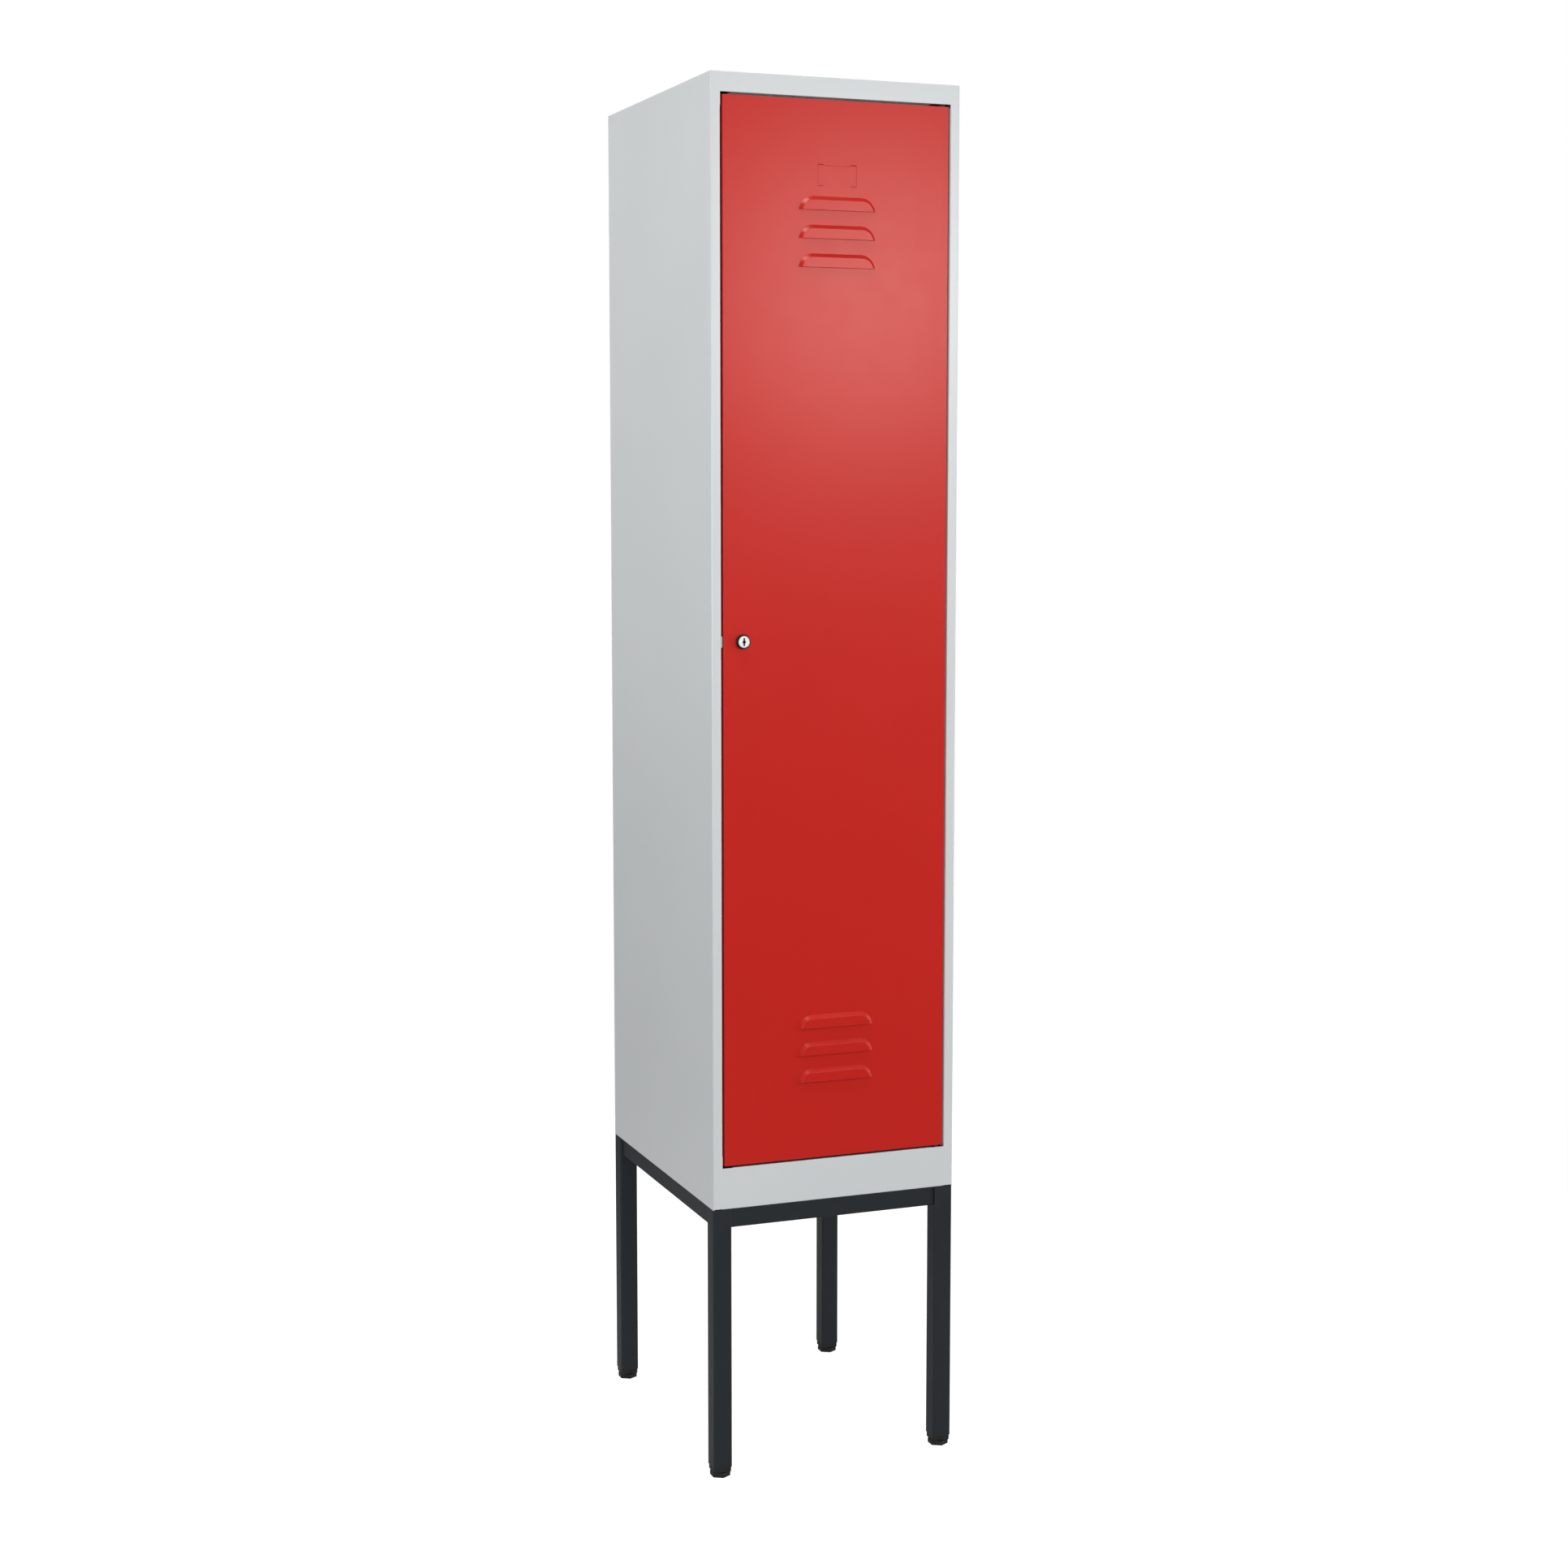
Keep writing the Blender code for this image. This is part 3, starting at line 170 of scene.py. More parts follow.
def setFloor():
    bm = bmesh.new()
    bmesh.ops.create_circle(bm, cap_ends=True, segments=96, radius=studio["floorRadius"])
    mesh = bpy.data.meshes.new("studioFloor")
    bm.to_mesh(mesh)
    bm.free()
    floor = bpy.data.objects.new("studioFloor", mesh)
    scene.collection.objects.link(floor)
    paper = bpy.data.materials.new("floorPaper")
    paper.use_nodes = True
    tree = paper.node_tree
    shader = tree.nodes["Principled BSDF"]
    shader.inputs["Roughness"].default_value = studio["floorRough"]
    shader.inputs["Emission Strength"].default_value = 1.0
    where = putNode(tree, "TexCoord")
    grain = putNode(tree, "TexNoise", studio["floorGrain"])
    tone = mapNode(tree, (0.0, 1.0), studio["floorTone"])
    far = putNode(tree, "VectorMath", operation="LENGTH")
    fade = mapNode(tree, studio["floorFade"], (1.0, 0.0))
    fade.interpolation_type = "SMOOTHSTEP"
    ray = putNode(tree, "LightPath")
    lift = putNode(tree, "Math", {1: studio["floorLift"]}, operation="MULTIPLY")
    wire(
        tree,
        (ray, "Is Camera Ray", lift, 0),
        (lift, 0, shader, "Emission Color"),
        (where, "Object", grain, "Vector"),
        (grain, "Fac", tone, "Value"),
        (tone, 0, shader, "Base Color"),
        (where, "Object", far, 0),
        (far, "Value", fade, "Value"),
        (fade, 0, shader, "Alpha"),
    )
    mesh.materials.append(paper)


setCamera()
setLights()
setFloor()
print("locker: camera, floor and light set")


# textures of the three kinds of surface and what their finishes share
skins = {
    # orange peel, a faint mottle and an uneven gloss
    "powderCoat": {
        "kind": "TexNoise",
        "height": "Fac",
        "fine": {"Detail": 2.0, "Roughness": 0.45},
        "slow": {"Scale": 4.0, "Detail": 3.0},
        "patch": {"Scale": 40.0, "Detail": 4.0, "Roughness": 0.6},
        "patchSpan": (0.3, 0.7),
        "relief": 0.0004,  # height of the bump
        "bump": 0.06,
    },
    # fine pits over a slow wave, and an uneven gloss
    "mouldGrain": {
        "kind": "TexVoronoi",
        "settings": {"feature": "SMOOTH_F1"},
        "height": "Distance",
        "fine": {},
        "slow": {"Scale": 60.0, "Detail": 3.0},
        "patch": {"Scale": 60.0, "Detail": 3.0},
        "patchSpan": (0.3, 0.7),
        "relief": 0.0003,
        "tone": (0.85, 1.25),
        "more": {"Specular IOR Level": 0.3},
    },
    # a slow tarnish, and short fine scratches that change the gloss
    "platedMetal": {
        "kind": "TexNoise",
        "height": "Fac",
        "fine": {"Detail": 3.0, "Roughness": 0.6},
        "slow": {"Scale": 45.0, "Detail": 4.0},
        "patch": None,
        "patchSpan": (0.35, 0.65),
        "stretch": (1.0, 1.0, 0.08),
        "relief": 0.0002,
        "tone": (0.86, 1.06),
        "more": {"Metallic": 1.0},
    },
}
# colour is linear, gloss a range of roughness, tone a range of brightness, grain the fine texture's scale
finishes = {
    "cabinetGrey": {
        "skin": "powderCoat",
        "colour": (0.514, 0.533, 0.541),
        "gloss": (0.305, 0.325),
        "tone": (0.988, 1.012),
        "grain": 620,
        "edge": (0.55, 0.56, 0.565),
        "more": {"Specular IOR Level": 0.5},
    },
    "doorRed": {
        "skin": "powderCoat",
        "colour": (0.437, 0.0122, 0.0084),
        "gloss": (0.295, 0.315),
        "tone": (0.98, 1.02),
        "grain": 620,
        "edge": (0.49, 0.020, 0.014),
        "more": {"Specular IOR Level": 0.42, "Specular Tint": (1, 0.72, 0.67, 1)},
    },
    "frameAnthracite": {
        "skin": "powderCoat",
        "colour": (0.0080, 0.0115, 0.0145),
        "gloss": (0.42, 0.48),
        "tone": (0.94, 1.06),
        "grain": 700,
        "edge": (0.020, 0.024, 0.027),
        "more": {"Specular IOR Level": 0.4},
    },
    "blackPlastic": {
        "skin": "mouldGrain",
        "colour": (0.010, 0.010, 0.0105),
        "gloss": (0.42, 0.58),
        "grain": 1900,
        "bump": 0.25,
    },
    "blackRubber": {
        "skin": "mouldGrain",
        "colour": (0.018, 0.018, 0.018),
        "gloss": (0.78, 0.9),
        "grain": 1100,
        "bump": 0.35,
    },
    "chrome": {
        "skin": "platedMetal",
        "colour": (0.86, 0.87, 0.88),
        "gloss": (0.10, 0.24),
        "grain": 900,
        "bump": 0.03,
    },
    "satinNickel": {
        "skin": "platedMetal",
        "colour": (0.74, 0.745, 0.74),
        "gloss": (0.40, 0.52),
        "grain": 700,
        "bump": 0.03,
        "more": {"Metallic": 0.3},
    },
    "zincSteel": {
        "skin": "platedMetal",
        "colour": (0.62, 0.63, 0.62),
        "gloss": (0.26, 0.42),
        "grain": 240,
        "bump": 0.10,
    },
}
wear = {
    "edge": 0.5,
    "edgeSpan": (0.99, 0.80),  # how far the normals of an edge agree
    "edgeNoise": {"Scale": 90.0, "Detail": 4.0},
    "dust": 0.12,
    "dustSpan": (0.6, 1.0),  # how far a face looks up
    "dustNoise": {"Scale": 22.0, "Detail": 6.0, "Roughness": 0.65},
    "dustBreak": (0.35, 0.75),
    "dustColour": (0.45, 0.44, 0.42),
    "dustDull": 0.5,
}
toneSpan = (0.3, 0.7)


def newGroup(name, inputs, outputs):
    group = bpy.data.node_groups.new(name, "ShaderNodeTree")
    for label, kind, value in inputs:
        socket = group.interface.new_socket(label, in_out="INPUT", socket_type="NodeSocket" + kind)
        socket.default_value = value
    for label, kind in outputs:
        group.interface.new_socket(label, in_out="OUTPUT", socket_type="NodeSocket" + kind)
    return group, group.nodes.new("NodeGroupInput"), group.nodes.new("NodeGroupOutput")


def skinGroup(name):
    s = skins[name]
    group, given, put = newGroup(
        name,
        (
            ("Base", "Color", (0.5, 0.5, 0.5, 1)),
            ("Grain", "Float", 600.0),
            ("Tone Low", "Float", 0.9),
            ("Tone High", "Float", 1.1),
            ("Gloss Low", "Float", 0.3),
            ("Gloss High", "Float", 0.4),
        ),
        (("Colour", "Color"), ("Roughness", "Float"), ("Height", "Float")),
    )
    where = putNode(group, "TexCoord")
    stretch = putNode(group, "Mapping", {"Scale": s.get("stretch", (1.0, 1.0, 1.0))})
    fine = putNode(group, s["kind"], s["fine"], **s.get("settings", {}))
    slow = putNode(group, "TexNoise", s["slow"])
    patch = fine
    if s["patch"]:
        patch = putNode(group, "TexNoise", s["patch"])
        wire(group, (where, "Object", patch, "Vector"))
    tone = mapNode(group, toneSpan)
    gloss = mapNode(group, s["patchSpan"])
    tint = putNode(group, "Mix", {0: 1.0}, data_type="RGBA", blend_type="MULTIPLY")
    wire(
        group,
        (where, "Object", stretch, "Vector"),
        (stretch, 0, fine, "Vector"),
        (given, "Grain", fine, "Scale"),
        (where, "Object", slow, "Vector"),
        (slow, "Fac", tone, "Value"),
        (given, "Tone Low", tone, "To Min"),
        (given, "Tone High", tone, "To Max"),
        (given, "Base", tint, 6),
        (tone, 0, tint, 7),
        (patch, "Fac", gloss, "Value"),
        (given, "Gloss Low", gloss, "To Min"),
        (given, "Gloss High", gloss, "To Max"),
        (tint, 2, put, "Colour"),
        (gloss, 0, put, "Roughness"),
        (fine, s["height"], put, "Height"),
    )
    return group


def edgeGroup():
    # the coat pulls thin on folded edges
    group, given, put = newGroup(
        "thinEdge",
        (("Reach", "Float", 0.0015), ("Amount", "Float", 0.5)),
        (("Mask", "Float"),),
    )
    where = putNode(group, "TexCoord")
    rounded = putNode(group, "Bevel", samples=4)
    shape = putNode(group, "NewGeometry")
    dot = putNode(group, "VectorMath", operation="DOT_PRODUCT")
    bare = mapNode(group, wear["edgeSpan"])
    broken = putNode(group, "TexNoise", wear["edgeNoise"])
    patchy = putNode(group, "Math", operation="MULTIPLY")
    part = putNode(group, "Math", operation="MULTIPLY")
    wire(
        group,
        (given, "Reach", rounded, "Radius"),
        (rounded, 0, dot, 0),
        (shape, "Normal", dot, 1),
        (dot, "Value", bare, "Value"),
        (where, "Object", broken, "Vector"),
        (bare, 0, patchy, 0),
        (broken, "Fac", patchy, 1),
        (patchy, 0, part, 0),
        (given, "Amount", part, 1),
        (part, 0, put, "Mask"),
    )
    return group


def dustGroup():
    # a little dust on what faces up
    group, given, put = newGroup("settledDust", (("Amount", "Float", 0.2),), (("Mask", "Float"),))
    where = putNode(group, "TexCoord")
    shape = putNode(group, "NewGeometry")
    split = putNode(group, "SeparateXYZ")
    level = mapNode(group, wear["dustSpan"])
    drift = putNode(group, "TexNoise", wear["dustNoise"])
    loose = mapNode(group, wear["dustBreak"])
    both = putNode(group, "Math", operation="MULTIPLY")
    part = putNode(group, "Math", operation="MULTIPLY")
    wire(
        group,
        (shape, "Normal", split, 0),
        (split, "Z", level, "Value"),
        (where, "Object", drift, "Vector"),
        (drift, "Fac", loose, "Value"),
        (level, 0, both, 0),
        (loose, 0, both, 1),
        (both, 0, part, 0),
        (given, "Amount", part, 1),
        (part, 0, put, "Mask"),
    )
    return group


skinNodes = {name: skinGroup(name) for name in skins}
edgeNodes = edgeGroup()
dustNodes = dustGroup()


def addWear(tree, shader, coat, bare):
    edge = putNode(tree, "Group", {"Amount": wear["edge"]}, node_tree=edgeNodes)
    dust = putNode(tree, "Group", {"Amount": wear["dust"]}, node_tree=dustNodes)
    thin = putNode(tree, "Mix", {7: (*bare, 1)}, data_type="RGBA")
    grey = putNode(tree, "Mix", {7: (*wear["dustColour"], 1)}, data_type="RGBA")
    dull = putNode(tree, "Math", {1: wear["dustDull"]}, operation="MULTIPLY_ADD")
    wire(
        tree,
        (edge, "Mask", thin, 0),
        (coat, "Colour", thin, 6),
        (dust, "Mask", grey, 0),
        (thin, 2, grey, 6),
        (grey, 2, shader, "Base Color"),
        (dust, "Mask", dull, 0),
        (coat, "Roughness", dull, 2),
        (dull, 0, shader, "Roughness"),
    )


def mixFinish(name):
    look = {**skins[finishes[name]["skin"]], **finishes[name]}
    material = bpy.data.materials.new(name)
    material.use_nodes = True
    tree = material.node_tree
    shader = tree.nodes["Principled BSDF"]
    for entry, value in look["more"].items():
        shader.inputs[entry].default_value = value
    values = {
        "Base": (*look["colour"], 1),
        "Grain": look["grain"],
        "Tone Low": look["tone"][0],
        "Tone High": look["tone"][1],
        "Gloss Low": look["gloss"][0],
        "Gloss High": look["gloss"][1],
    }
    coat = putNode(tree, "Group", values, node_tree=skinNodes[look["skin"]])
    bump = putNode(tree, "Bump", {"Strength": look["bump"], "Distance": look["relief"]})
    wire(
        tree,
        (coat, "Colour", shader, "Base Color"),
        (coat, "Roughness", shader, "Roughness"),
        (coat, "Height", bump, "Height"),
        (bump, 0, shader, "Normal"),
    )
    if "edge" in look:
        addWear(tree, shader, coat, look["edge"])
    return material


cabinetGrey = mixFinish("cabinetGrey")
doorRed = mixFinish("doorRed")
frameAnthracite = mixFinish("frameAnthracite")
blackPlastic = mixFinish("blackPlastic")
blackRubber = mixFinish("blackRubber")
chrome = mixFinish("chrome")
satinNickel = mixFinish("satinNickel")
zincSteel = mixFinish("zincSteel")
print("locker: finishes mixed")


at = Matrix.Translation
upright = Matrix.Identity(3)
crosswise = Matrix(((0, 0, 1), (1, 0, 0), (0, 1, 0)))
toFront = Matrix.Rotation(math.pi / 2, 4, "X")  # local Z comes out of the front
towardX = Matrix.Rotation(math.pi / 2, 4, "Z") @ Matrix.Rotation(math.pi / 2, 4, "X")


def faceOut(bm):
    bmesh.ops.recalc_face_normals(bm, faces=bm.faces)


def moveShape(bm, matrix):
    bmesh.ops.transform(bm, matrix=matrix, verts=bm.verts)


def vertsIn(geom):
    return [item for item in geom if isinstance(item, bmesh.types.BMVert)]


def edgesIn(geom):
    return [item for item in geom if isinstance(item, bmesh.types.BMEdge)]


def sharpEdges(bm, degrees=30):
    limit = math.radians(degrees)
    return [edge for edge in bm.edges if len(edge.link_faces) == 2 and edge.calc_face_angle(0) > limit]


def roundEdges(bm, edges, radius, steps=3, affect="EDGES"):
    bmesh.ops.bevel(
        bm,
        geom=edges,
        offset=radius,
        offset_type="OFFSET",
        segments=steps,
        profile=0.5,
        affect=affect,
        clamp_overlap=affect == "EDGES",
        material=-1,
    )


def pull(bm, edges, move):
    grown = bmesh.ops.extrude_edge_only(bm, edges=edges)["geom"]
    fresh = set(vertsIn(grown))
    bmesh.ops.translate(bm, verts=list(fresh), vec=move)
    return [edge for edge in edgesIn(grown) if fresh.issuperset(edge.verts)]


def edgesPast(edges, axis, limit):
    # edges with both ends past a plane
    return [edge for edge in edges if all(vert.co[axis] > limit for vert in edge.verts)]


def facesPast(bm, axis, limit):
    return [face for face in bm.faces if face.calc_center_median()[axis] > limit]


def cutThrough(bm, normal, level, **more):
    everything = bm.verts[:] + bm.edges[:] + bm.faces[:]
    normal = Vector(normal)
    bmesh.ops.bisect_plane(bm, geom=everything, plane_co=normal * level, plane_no=normal, **more)


def flatBlank(bm, width, height, corner=0, steps=6, chosen=None):
    # one flat face with rounded corners
    size = Matrix.Diagonal((width, height, 1, 1))
    made = bmesh.ops.create_grid(bm, x_segments=1, y_segments=1, size=0.5, matrix=size)
    corners = [vert for vert in made["verts"] if chosen is None or chosen(vert.co)]
    if corner:
        roundEdges(bm, corners, corner, steps, "VERTICES")


def raiseFaces(bm, faces, height):
    grown = bmesh.ops.extrude_face_region(bm, geom=faces, use_keep_orig=True)["geom"]
    bmesh.ops.translate(bm, verts=vertsIn(grown), vec=(0, 0, height))
    faceOut(bm)


def stepFaces(bm, faces, margin, height):
    # leaves a margin round the faces and moves what is inside it
    bmesh.ops.inset_region(bm, faces=faces, thickness=margin, use_even_offset=True)
    grown = bmesh.ops.extrude_face_region(bm, geom=faces)["geom"]
    bmesh.ops.delete(bm, geom=faces, context="FACES_ONLY")
    bmesh.ops.translate(bm, verts=vertsIn(grown), vec=(0, 0, height))
    faceOut(bm)


def boxPlace(low, high):
    low, high = Vector(low), Vector(high)
    return at((low + high) / 2) @ Matrix.Diagonal((*(high - low), 1))


def boxShape(low, high, radius, steps=3):
    bm = bmesh.new()
    bmesh.ops.create_cube(bm, size=1, matrix=boxPlace(low, high))
    roundEdges(bm, bm.edges[:], radius, steps)
    return bm


def tubeShape(width, height, corner, wall, length, place):
    # a tube along its own Z, from zero to its length
    bm = bmesh.new()
    flatBlank(bm, width, height, corner)
    bore = bm.faces[:]
    bmesh.ops.inset_region(bm, faces=bore, thickness=wall, use_even_offset=True, use_boundary=True)
    bmesh.ops.delete(bm, geom=bore, context="FACES_ONLY")
    raiseFaces(bm, bm.faces[:], length)
    moveShape(bm, place)
    return bm


def rod(radius, start, end):
    return (0, start), (radius, start), (radius, end), (0, end)


def turnShape(profile, place, steps=40, closed=False, edge=0, edgeAngle=40):
    # radius and height, turned about Z
    bm = bmesh.new()
    dots = [bm.verts.new((radius, 0, height)) for radius, height in profile]
    lines = [bm.edges.new(pair) for pair in zip(dots, dots[1:])]
    if closed:
        lines.append(bm.edges.new((dots[-1], dots[0])))
    bmesh.ops.spin(
        bm, geom=dots + lines, cent=(0, 0, 0), axis=(0, 0, 1), angle=math.tau, steps=steps, use_merge=True
    )
    bmesh.ops.remove_doubles(bm, verts=bm.verts, dist=0.000005)
    faceOut(bm)
    if edge:
        roundEdges(bm, sharpEdges(bm, edgeAngle), edge, 3)
    moveShape(bm, place)
    return bm


def joinShape(bm, other):
    mesh = bpy.data.meshes.new("joined")
    other.to_mesh(mesh)
    other.free()
    bm.from_mesh(mesh)
    bpy.data.meshes.remove(mesh)


def foldShape(bends, plane, span, levels=(), drop=None, tight=None):
    # the outer face of a folded sheet; the sheet lies on the left of its path
    bm = bmesh.new()
    row = [bm.verts.new(plane @ Vector((a, b, span[0]))) for a, b in bends]
    line = [bm.edges.new(pair) for pair in zip(row, row[1:])]
    along = plane @ Vector((0, 0, 1))
    pull(bm, line, along * (span[1] - span[0]))
    for level in levels:
        cutThrough(bm, along, level)
    if drop:
        gone = [face for face in bm.faces if drop(face.calc_center_median())]
        bmesh.ops.delete(bm, geom=gone, context="FACES")
    bm.normal_update()
    run = Vector(bends[1]) - Vector(bends[0])
    outer = plane @ Vector((run.y, -run.x, 0))
    start = plane @ Vector((*((Vector(bends[0]) + Vector(bends[1])) / 2), sum(span) / 2))
    first = min(bm.faces, key=lambda face: (face.calc_center_median() - start).length)
    if first.normal.dot(outer) < 0:
        bmesh.ops.reverse_faces(bm, faces=bm.faces)
    flat = plane.transposed()
    for before, corner, after in zip(bends, bends[1:], bends[2:]):
        turn = (Vector(corner) - Vector(before)).cross(Vector(after) - Vector(corner))
        if abs(turn) < 1e-9:
            continue
        folds = []
        for edge in bm.edges:
            ends = [(flat @ vert.co).xy - Vector(corner) for vert in edge.verts]
            if len(edge.link_faces) == 2 and all(end.length < pointSlack for end in ends):
                folds.append(edge)
        outside = cabinet["tightBend"] if corner == tight else cabinet["outerBend"]
        roundEdges(bm, folds, outside if turn > 0 else cabinet["innerBend"], 5)
    return bm


def workIn(obj):
    graph = bpy.context.evaluated_depsgraph_get()
    mesh = bpy.data.meshes.new_from_object(obj.evaluated_get(graph))
    obj.modifiers.clear()
    old = obj.data
    obj.data = mesh
    bpy.data.meshes.remove(old)
    mesh.name = obj.name


def settle(obj, angle=32):
    # modifiers worked in, soft faces with crisp creases
    workIn(obj)
    obj.data.shade_smooth()
    obj.data.set_sharp_from_angle(angle=math.radians(angle))
    even = obj.modifiers.new("even", "WEIGHTED_NORMAL")
    even.keep_sharp = True
    workIn(obj)


def makeObject(name, bm, material=None):
    mesh = bpy.data.meshes.new(name)
    bm.to_mesh(mesh)
    bm.free()
    if material:
        mesh.materials.append(material)
    obj = bpy.data.objects.new(name, mesh)
    scene.collection.objects.link(obj)
    return obj


def mount(obj, body, *nodes):
    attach(obj, body)
    if nodes:
        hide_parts(*nodes)
    return obj


def addPiece(name, bm, material, body, *nodes, angle=32):
    obj = makeObject(name, bm, material)
    settle(obj, angle)
    return mount(obj, body, *nodes)


def addSheet(name, bm, material, body, *nodes):
    obj = makeObject(name, bm, material)
    wall = obj.modifiers.new("sheet", "SOLIDIFY")
    wall.thickness = cabinet["sheet"]
    wall.offset = -1
    wall.use_even_offset = True
    settle(obj)
    return mount(obj, body, *nodes)


def cutAway(obj, bm, shadeLining=None):
    # the shade lining colours the faces that the cut leaves: painted shade inside the hollow
    tool = makeObject("tool", bm, shadeLining)
    cut = obj.modifiers.new("cut", "BOOLEAN")
    cut.operation = "DIFFERENCE"
    cut.solver = "EXACT"
    cut.use_self = True
    cut.material_mode = "TRANSFER" if shadeLining else "INDEX"
    cut.object = tool
    settle(obj)
    mesh = tool.data
    bpy.data.objects.remove(tool)
    bpy.data.meshes.remove(mesh)


sides = {
    "rearFlange": 0.016,
    "stopLip": 0.012,
    "hingeJamb": 0.022,
    "stileStep": 0.0013,
    "leftRelief": 0.020,
    "rightRelief": 0.005,
}


def sideSheet(side, bends):
    c = cabinet
    relief = sides[side + "Relief"]
    jambLow, jambHigh = c["openLow"] + relief, c["openHigh"] - relief
    stileLow = c["bottom"] + sides["stileStep"]

    def drop(p):
        if abs(p.x) < c["openRight"] + planeSlack and p.y < 0:
            return not jambLow < p.z < jambHigh
        return p.y < c["front"] + planeSlack and p.z < stileLow

    bm = foldShape(bends, upright, (c["bottom"], c["top"]), (stileLow, jambLow, jambHigh), drop)
    addSheet(side + "Side", bm, cabinetGrey, "cabinet", side + "_side_panel")


def leftSide():
    c, s = cabinet, sides
    bends = (
        (c["left"] + s["rearFlange"], c["back"]),
        (c["left"], c["back"]),
        (c["left"], c["front"]),
        (c["openLeft"], c["front"]),
        (c["openLeft"], c["stopFace"]),
        (c["openLeft"] + s["stopLip"], c["stopFace"]),
    )
    sideSheet("left", bends)


def rightSide():
    c, s = cabinet, sides
    bends = (
        (c["openRight"], c["front"] + s["hingeJamb"]),
        (c["openRight"], c["front"]),
        (c["right"], c["front"]),
        (c["right"], c["back"]),
        (c["right"] - s["rearFlange"], c["back"]),
    )
    sideSheet("right", bends)


roof = {"rearFlange": 0.016, "stopLip": 0.012, "leftRelief": 0.018, "hingeRelief": 0.028}


def roofSheet():
    c, r = cabinet, roof
    behind = c["front"] + c["sheet"] + c["fit"]
    bends = (
        (c["back"], c["top"] - r["rearFlange"]),
        (c["back"], c["top"]),
        (behind, c["top"]),
        (c["front"], c["top"]),
        (c["front"], c["openHigh"]),
        (c["stopFace"], c["openHigh"]),
        (c["stopFace"], c["openHigh"] - r["stopLip"]),
    )
    inLeft, inRight = c["left"] + c["sheet"], c["right"] - c["sheet"]
    flangeLeft = c["left"] + r["rearFlange"]
    flangeRight = c["right"] - r["rearFlange"]
    stopLeft = c["openLeft"] + r["leftRelief"]
    stopRight = c["openRight"] - r["hingeRelief"]

    def drop(p):
        if p.z > c["top"] - planeSlack and p.y > behind:
            return False
        if p.y > c["back"] - planeSlack:
            return not flangeLeft < p.x < flangeRight
        if p.z < c["openHigh"] + planeSlack:
            return not stopLeft < p.x < stopRight
        return not c["openLeft"] < p.x < c["openRight"]

    levels = (flangeLeft, c["openLeft"], stopLeft, stopRight, c["openRight"], flangeRight)
    overDoor = (c["front"], c["openHigh"])
    bm = foldShape(bends, crosswise, (inLeft, inRight), levels, drop, overDoor)
    addSheet("roofAndTopRail", bm, cabinetGrey, "cabinet", "top_panel")


floorSheet = {
    "rear": 0.2502,
    "rearLip": 0.015,
    "notch": 0.022,
    "baseFlange": 0.026,
    "leftRelief": 0.018,
    "hingeRelief": 0.020,
}


def bottomSheet():
    c, f = cabinet, floorSheet
    bends = (
        (f["rear"], c["openLow"] + f["rearLip"]),
        (f["rear"], c["openLow"]),
        (c["front"] + f["notch"], c["openLow"]),
        (c["front"], c["openLow"]),
        (c["front"], c["bottom"]),
        (c["front"] + f["baseFlange"], c["bottom"]),
    )
    inLeft, inRight = c["left"] + c["sheet"], c["right"] - c["sheet"]
    notchLeft = c["openLeft"] + f["leftRelief"]
    notchRight = c["openRight"] - f["hingeRelief"]

    def drop(p):
        if p.z < c["openLow"] - planeSlack:
            return not c["openLeft"] < p.x < c["openRight"]
        return p.y < c["front"] + f["notch"] - planeSlack and not notchLeft < p.x < notchRight

    levels = (c["openLeft"], notchLeft, notchRight, c["openRight"])
    underDoor = (c["front"], c["openLow"])
    bm = foldShape(bends, crosswise, (inLeft, inRight), levels, drop, underDoor)
    addSheet("floorAndBottomRail", bm, cabinetGrey, "cabinet", "bottom_panel")


inside = {
    "backFace": 0.2525,
    "innerBack": 0.2512,
    "baseFlange": 0.026,
    "shelfTop": 1.824,
    "shelfFold": 0.025,
    "shelfReturn": 0.012,
    "shelfFront": -0.2122,
}


def backSheet():
    c, i = cabinet, inside
    bends = (
        (i["backFace"] - i["baseFlange"], c["bottom"]),
        (i["backFace"], c["bottom"]),
        (i["backFace"], c["top"] - c["sheet"]),
    )
    bm = foldShape(bends, crosswise, (c["left"] + c["sheet"], c["right"] - c["sheet"]))
    addSheet("backSheet", bm, cabinetGrey, "cabinet", "back_panel")


def hatShelf():
    c, i = cabinet, inside
    low = i["shelfTop"] - i["shelfFold"]
    bends = (
        (i["innerBack"], low),
        (i["innerBack"], i["shelfTop"]),
        (i["shelfFront"], i["shelfTop"]),
        (i["shelfFront"], low),
        (i["shelfFront"] + i["shelfReturn"], low),
    )
    inner = c["sheet"] + c["fit"]
    bm = foldShape(bends, crosswise, (c["left"] + inner, c["right"] - inner))
    addSheet("hatShelf", bm, cabinetGrey, "cabinet", "hat_shelf")


leftSide()
rightSide()
roofSheet()
bottomSheet()
backSheet()
hatShelf()
print("locker: cabinet sheets folded")


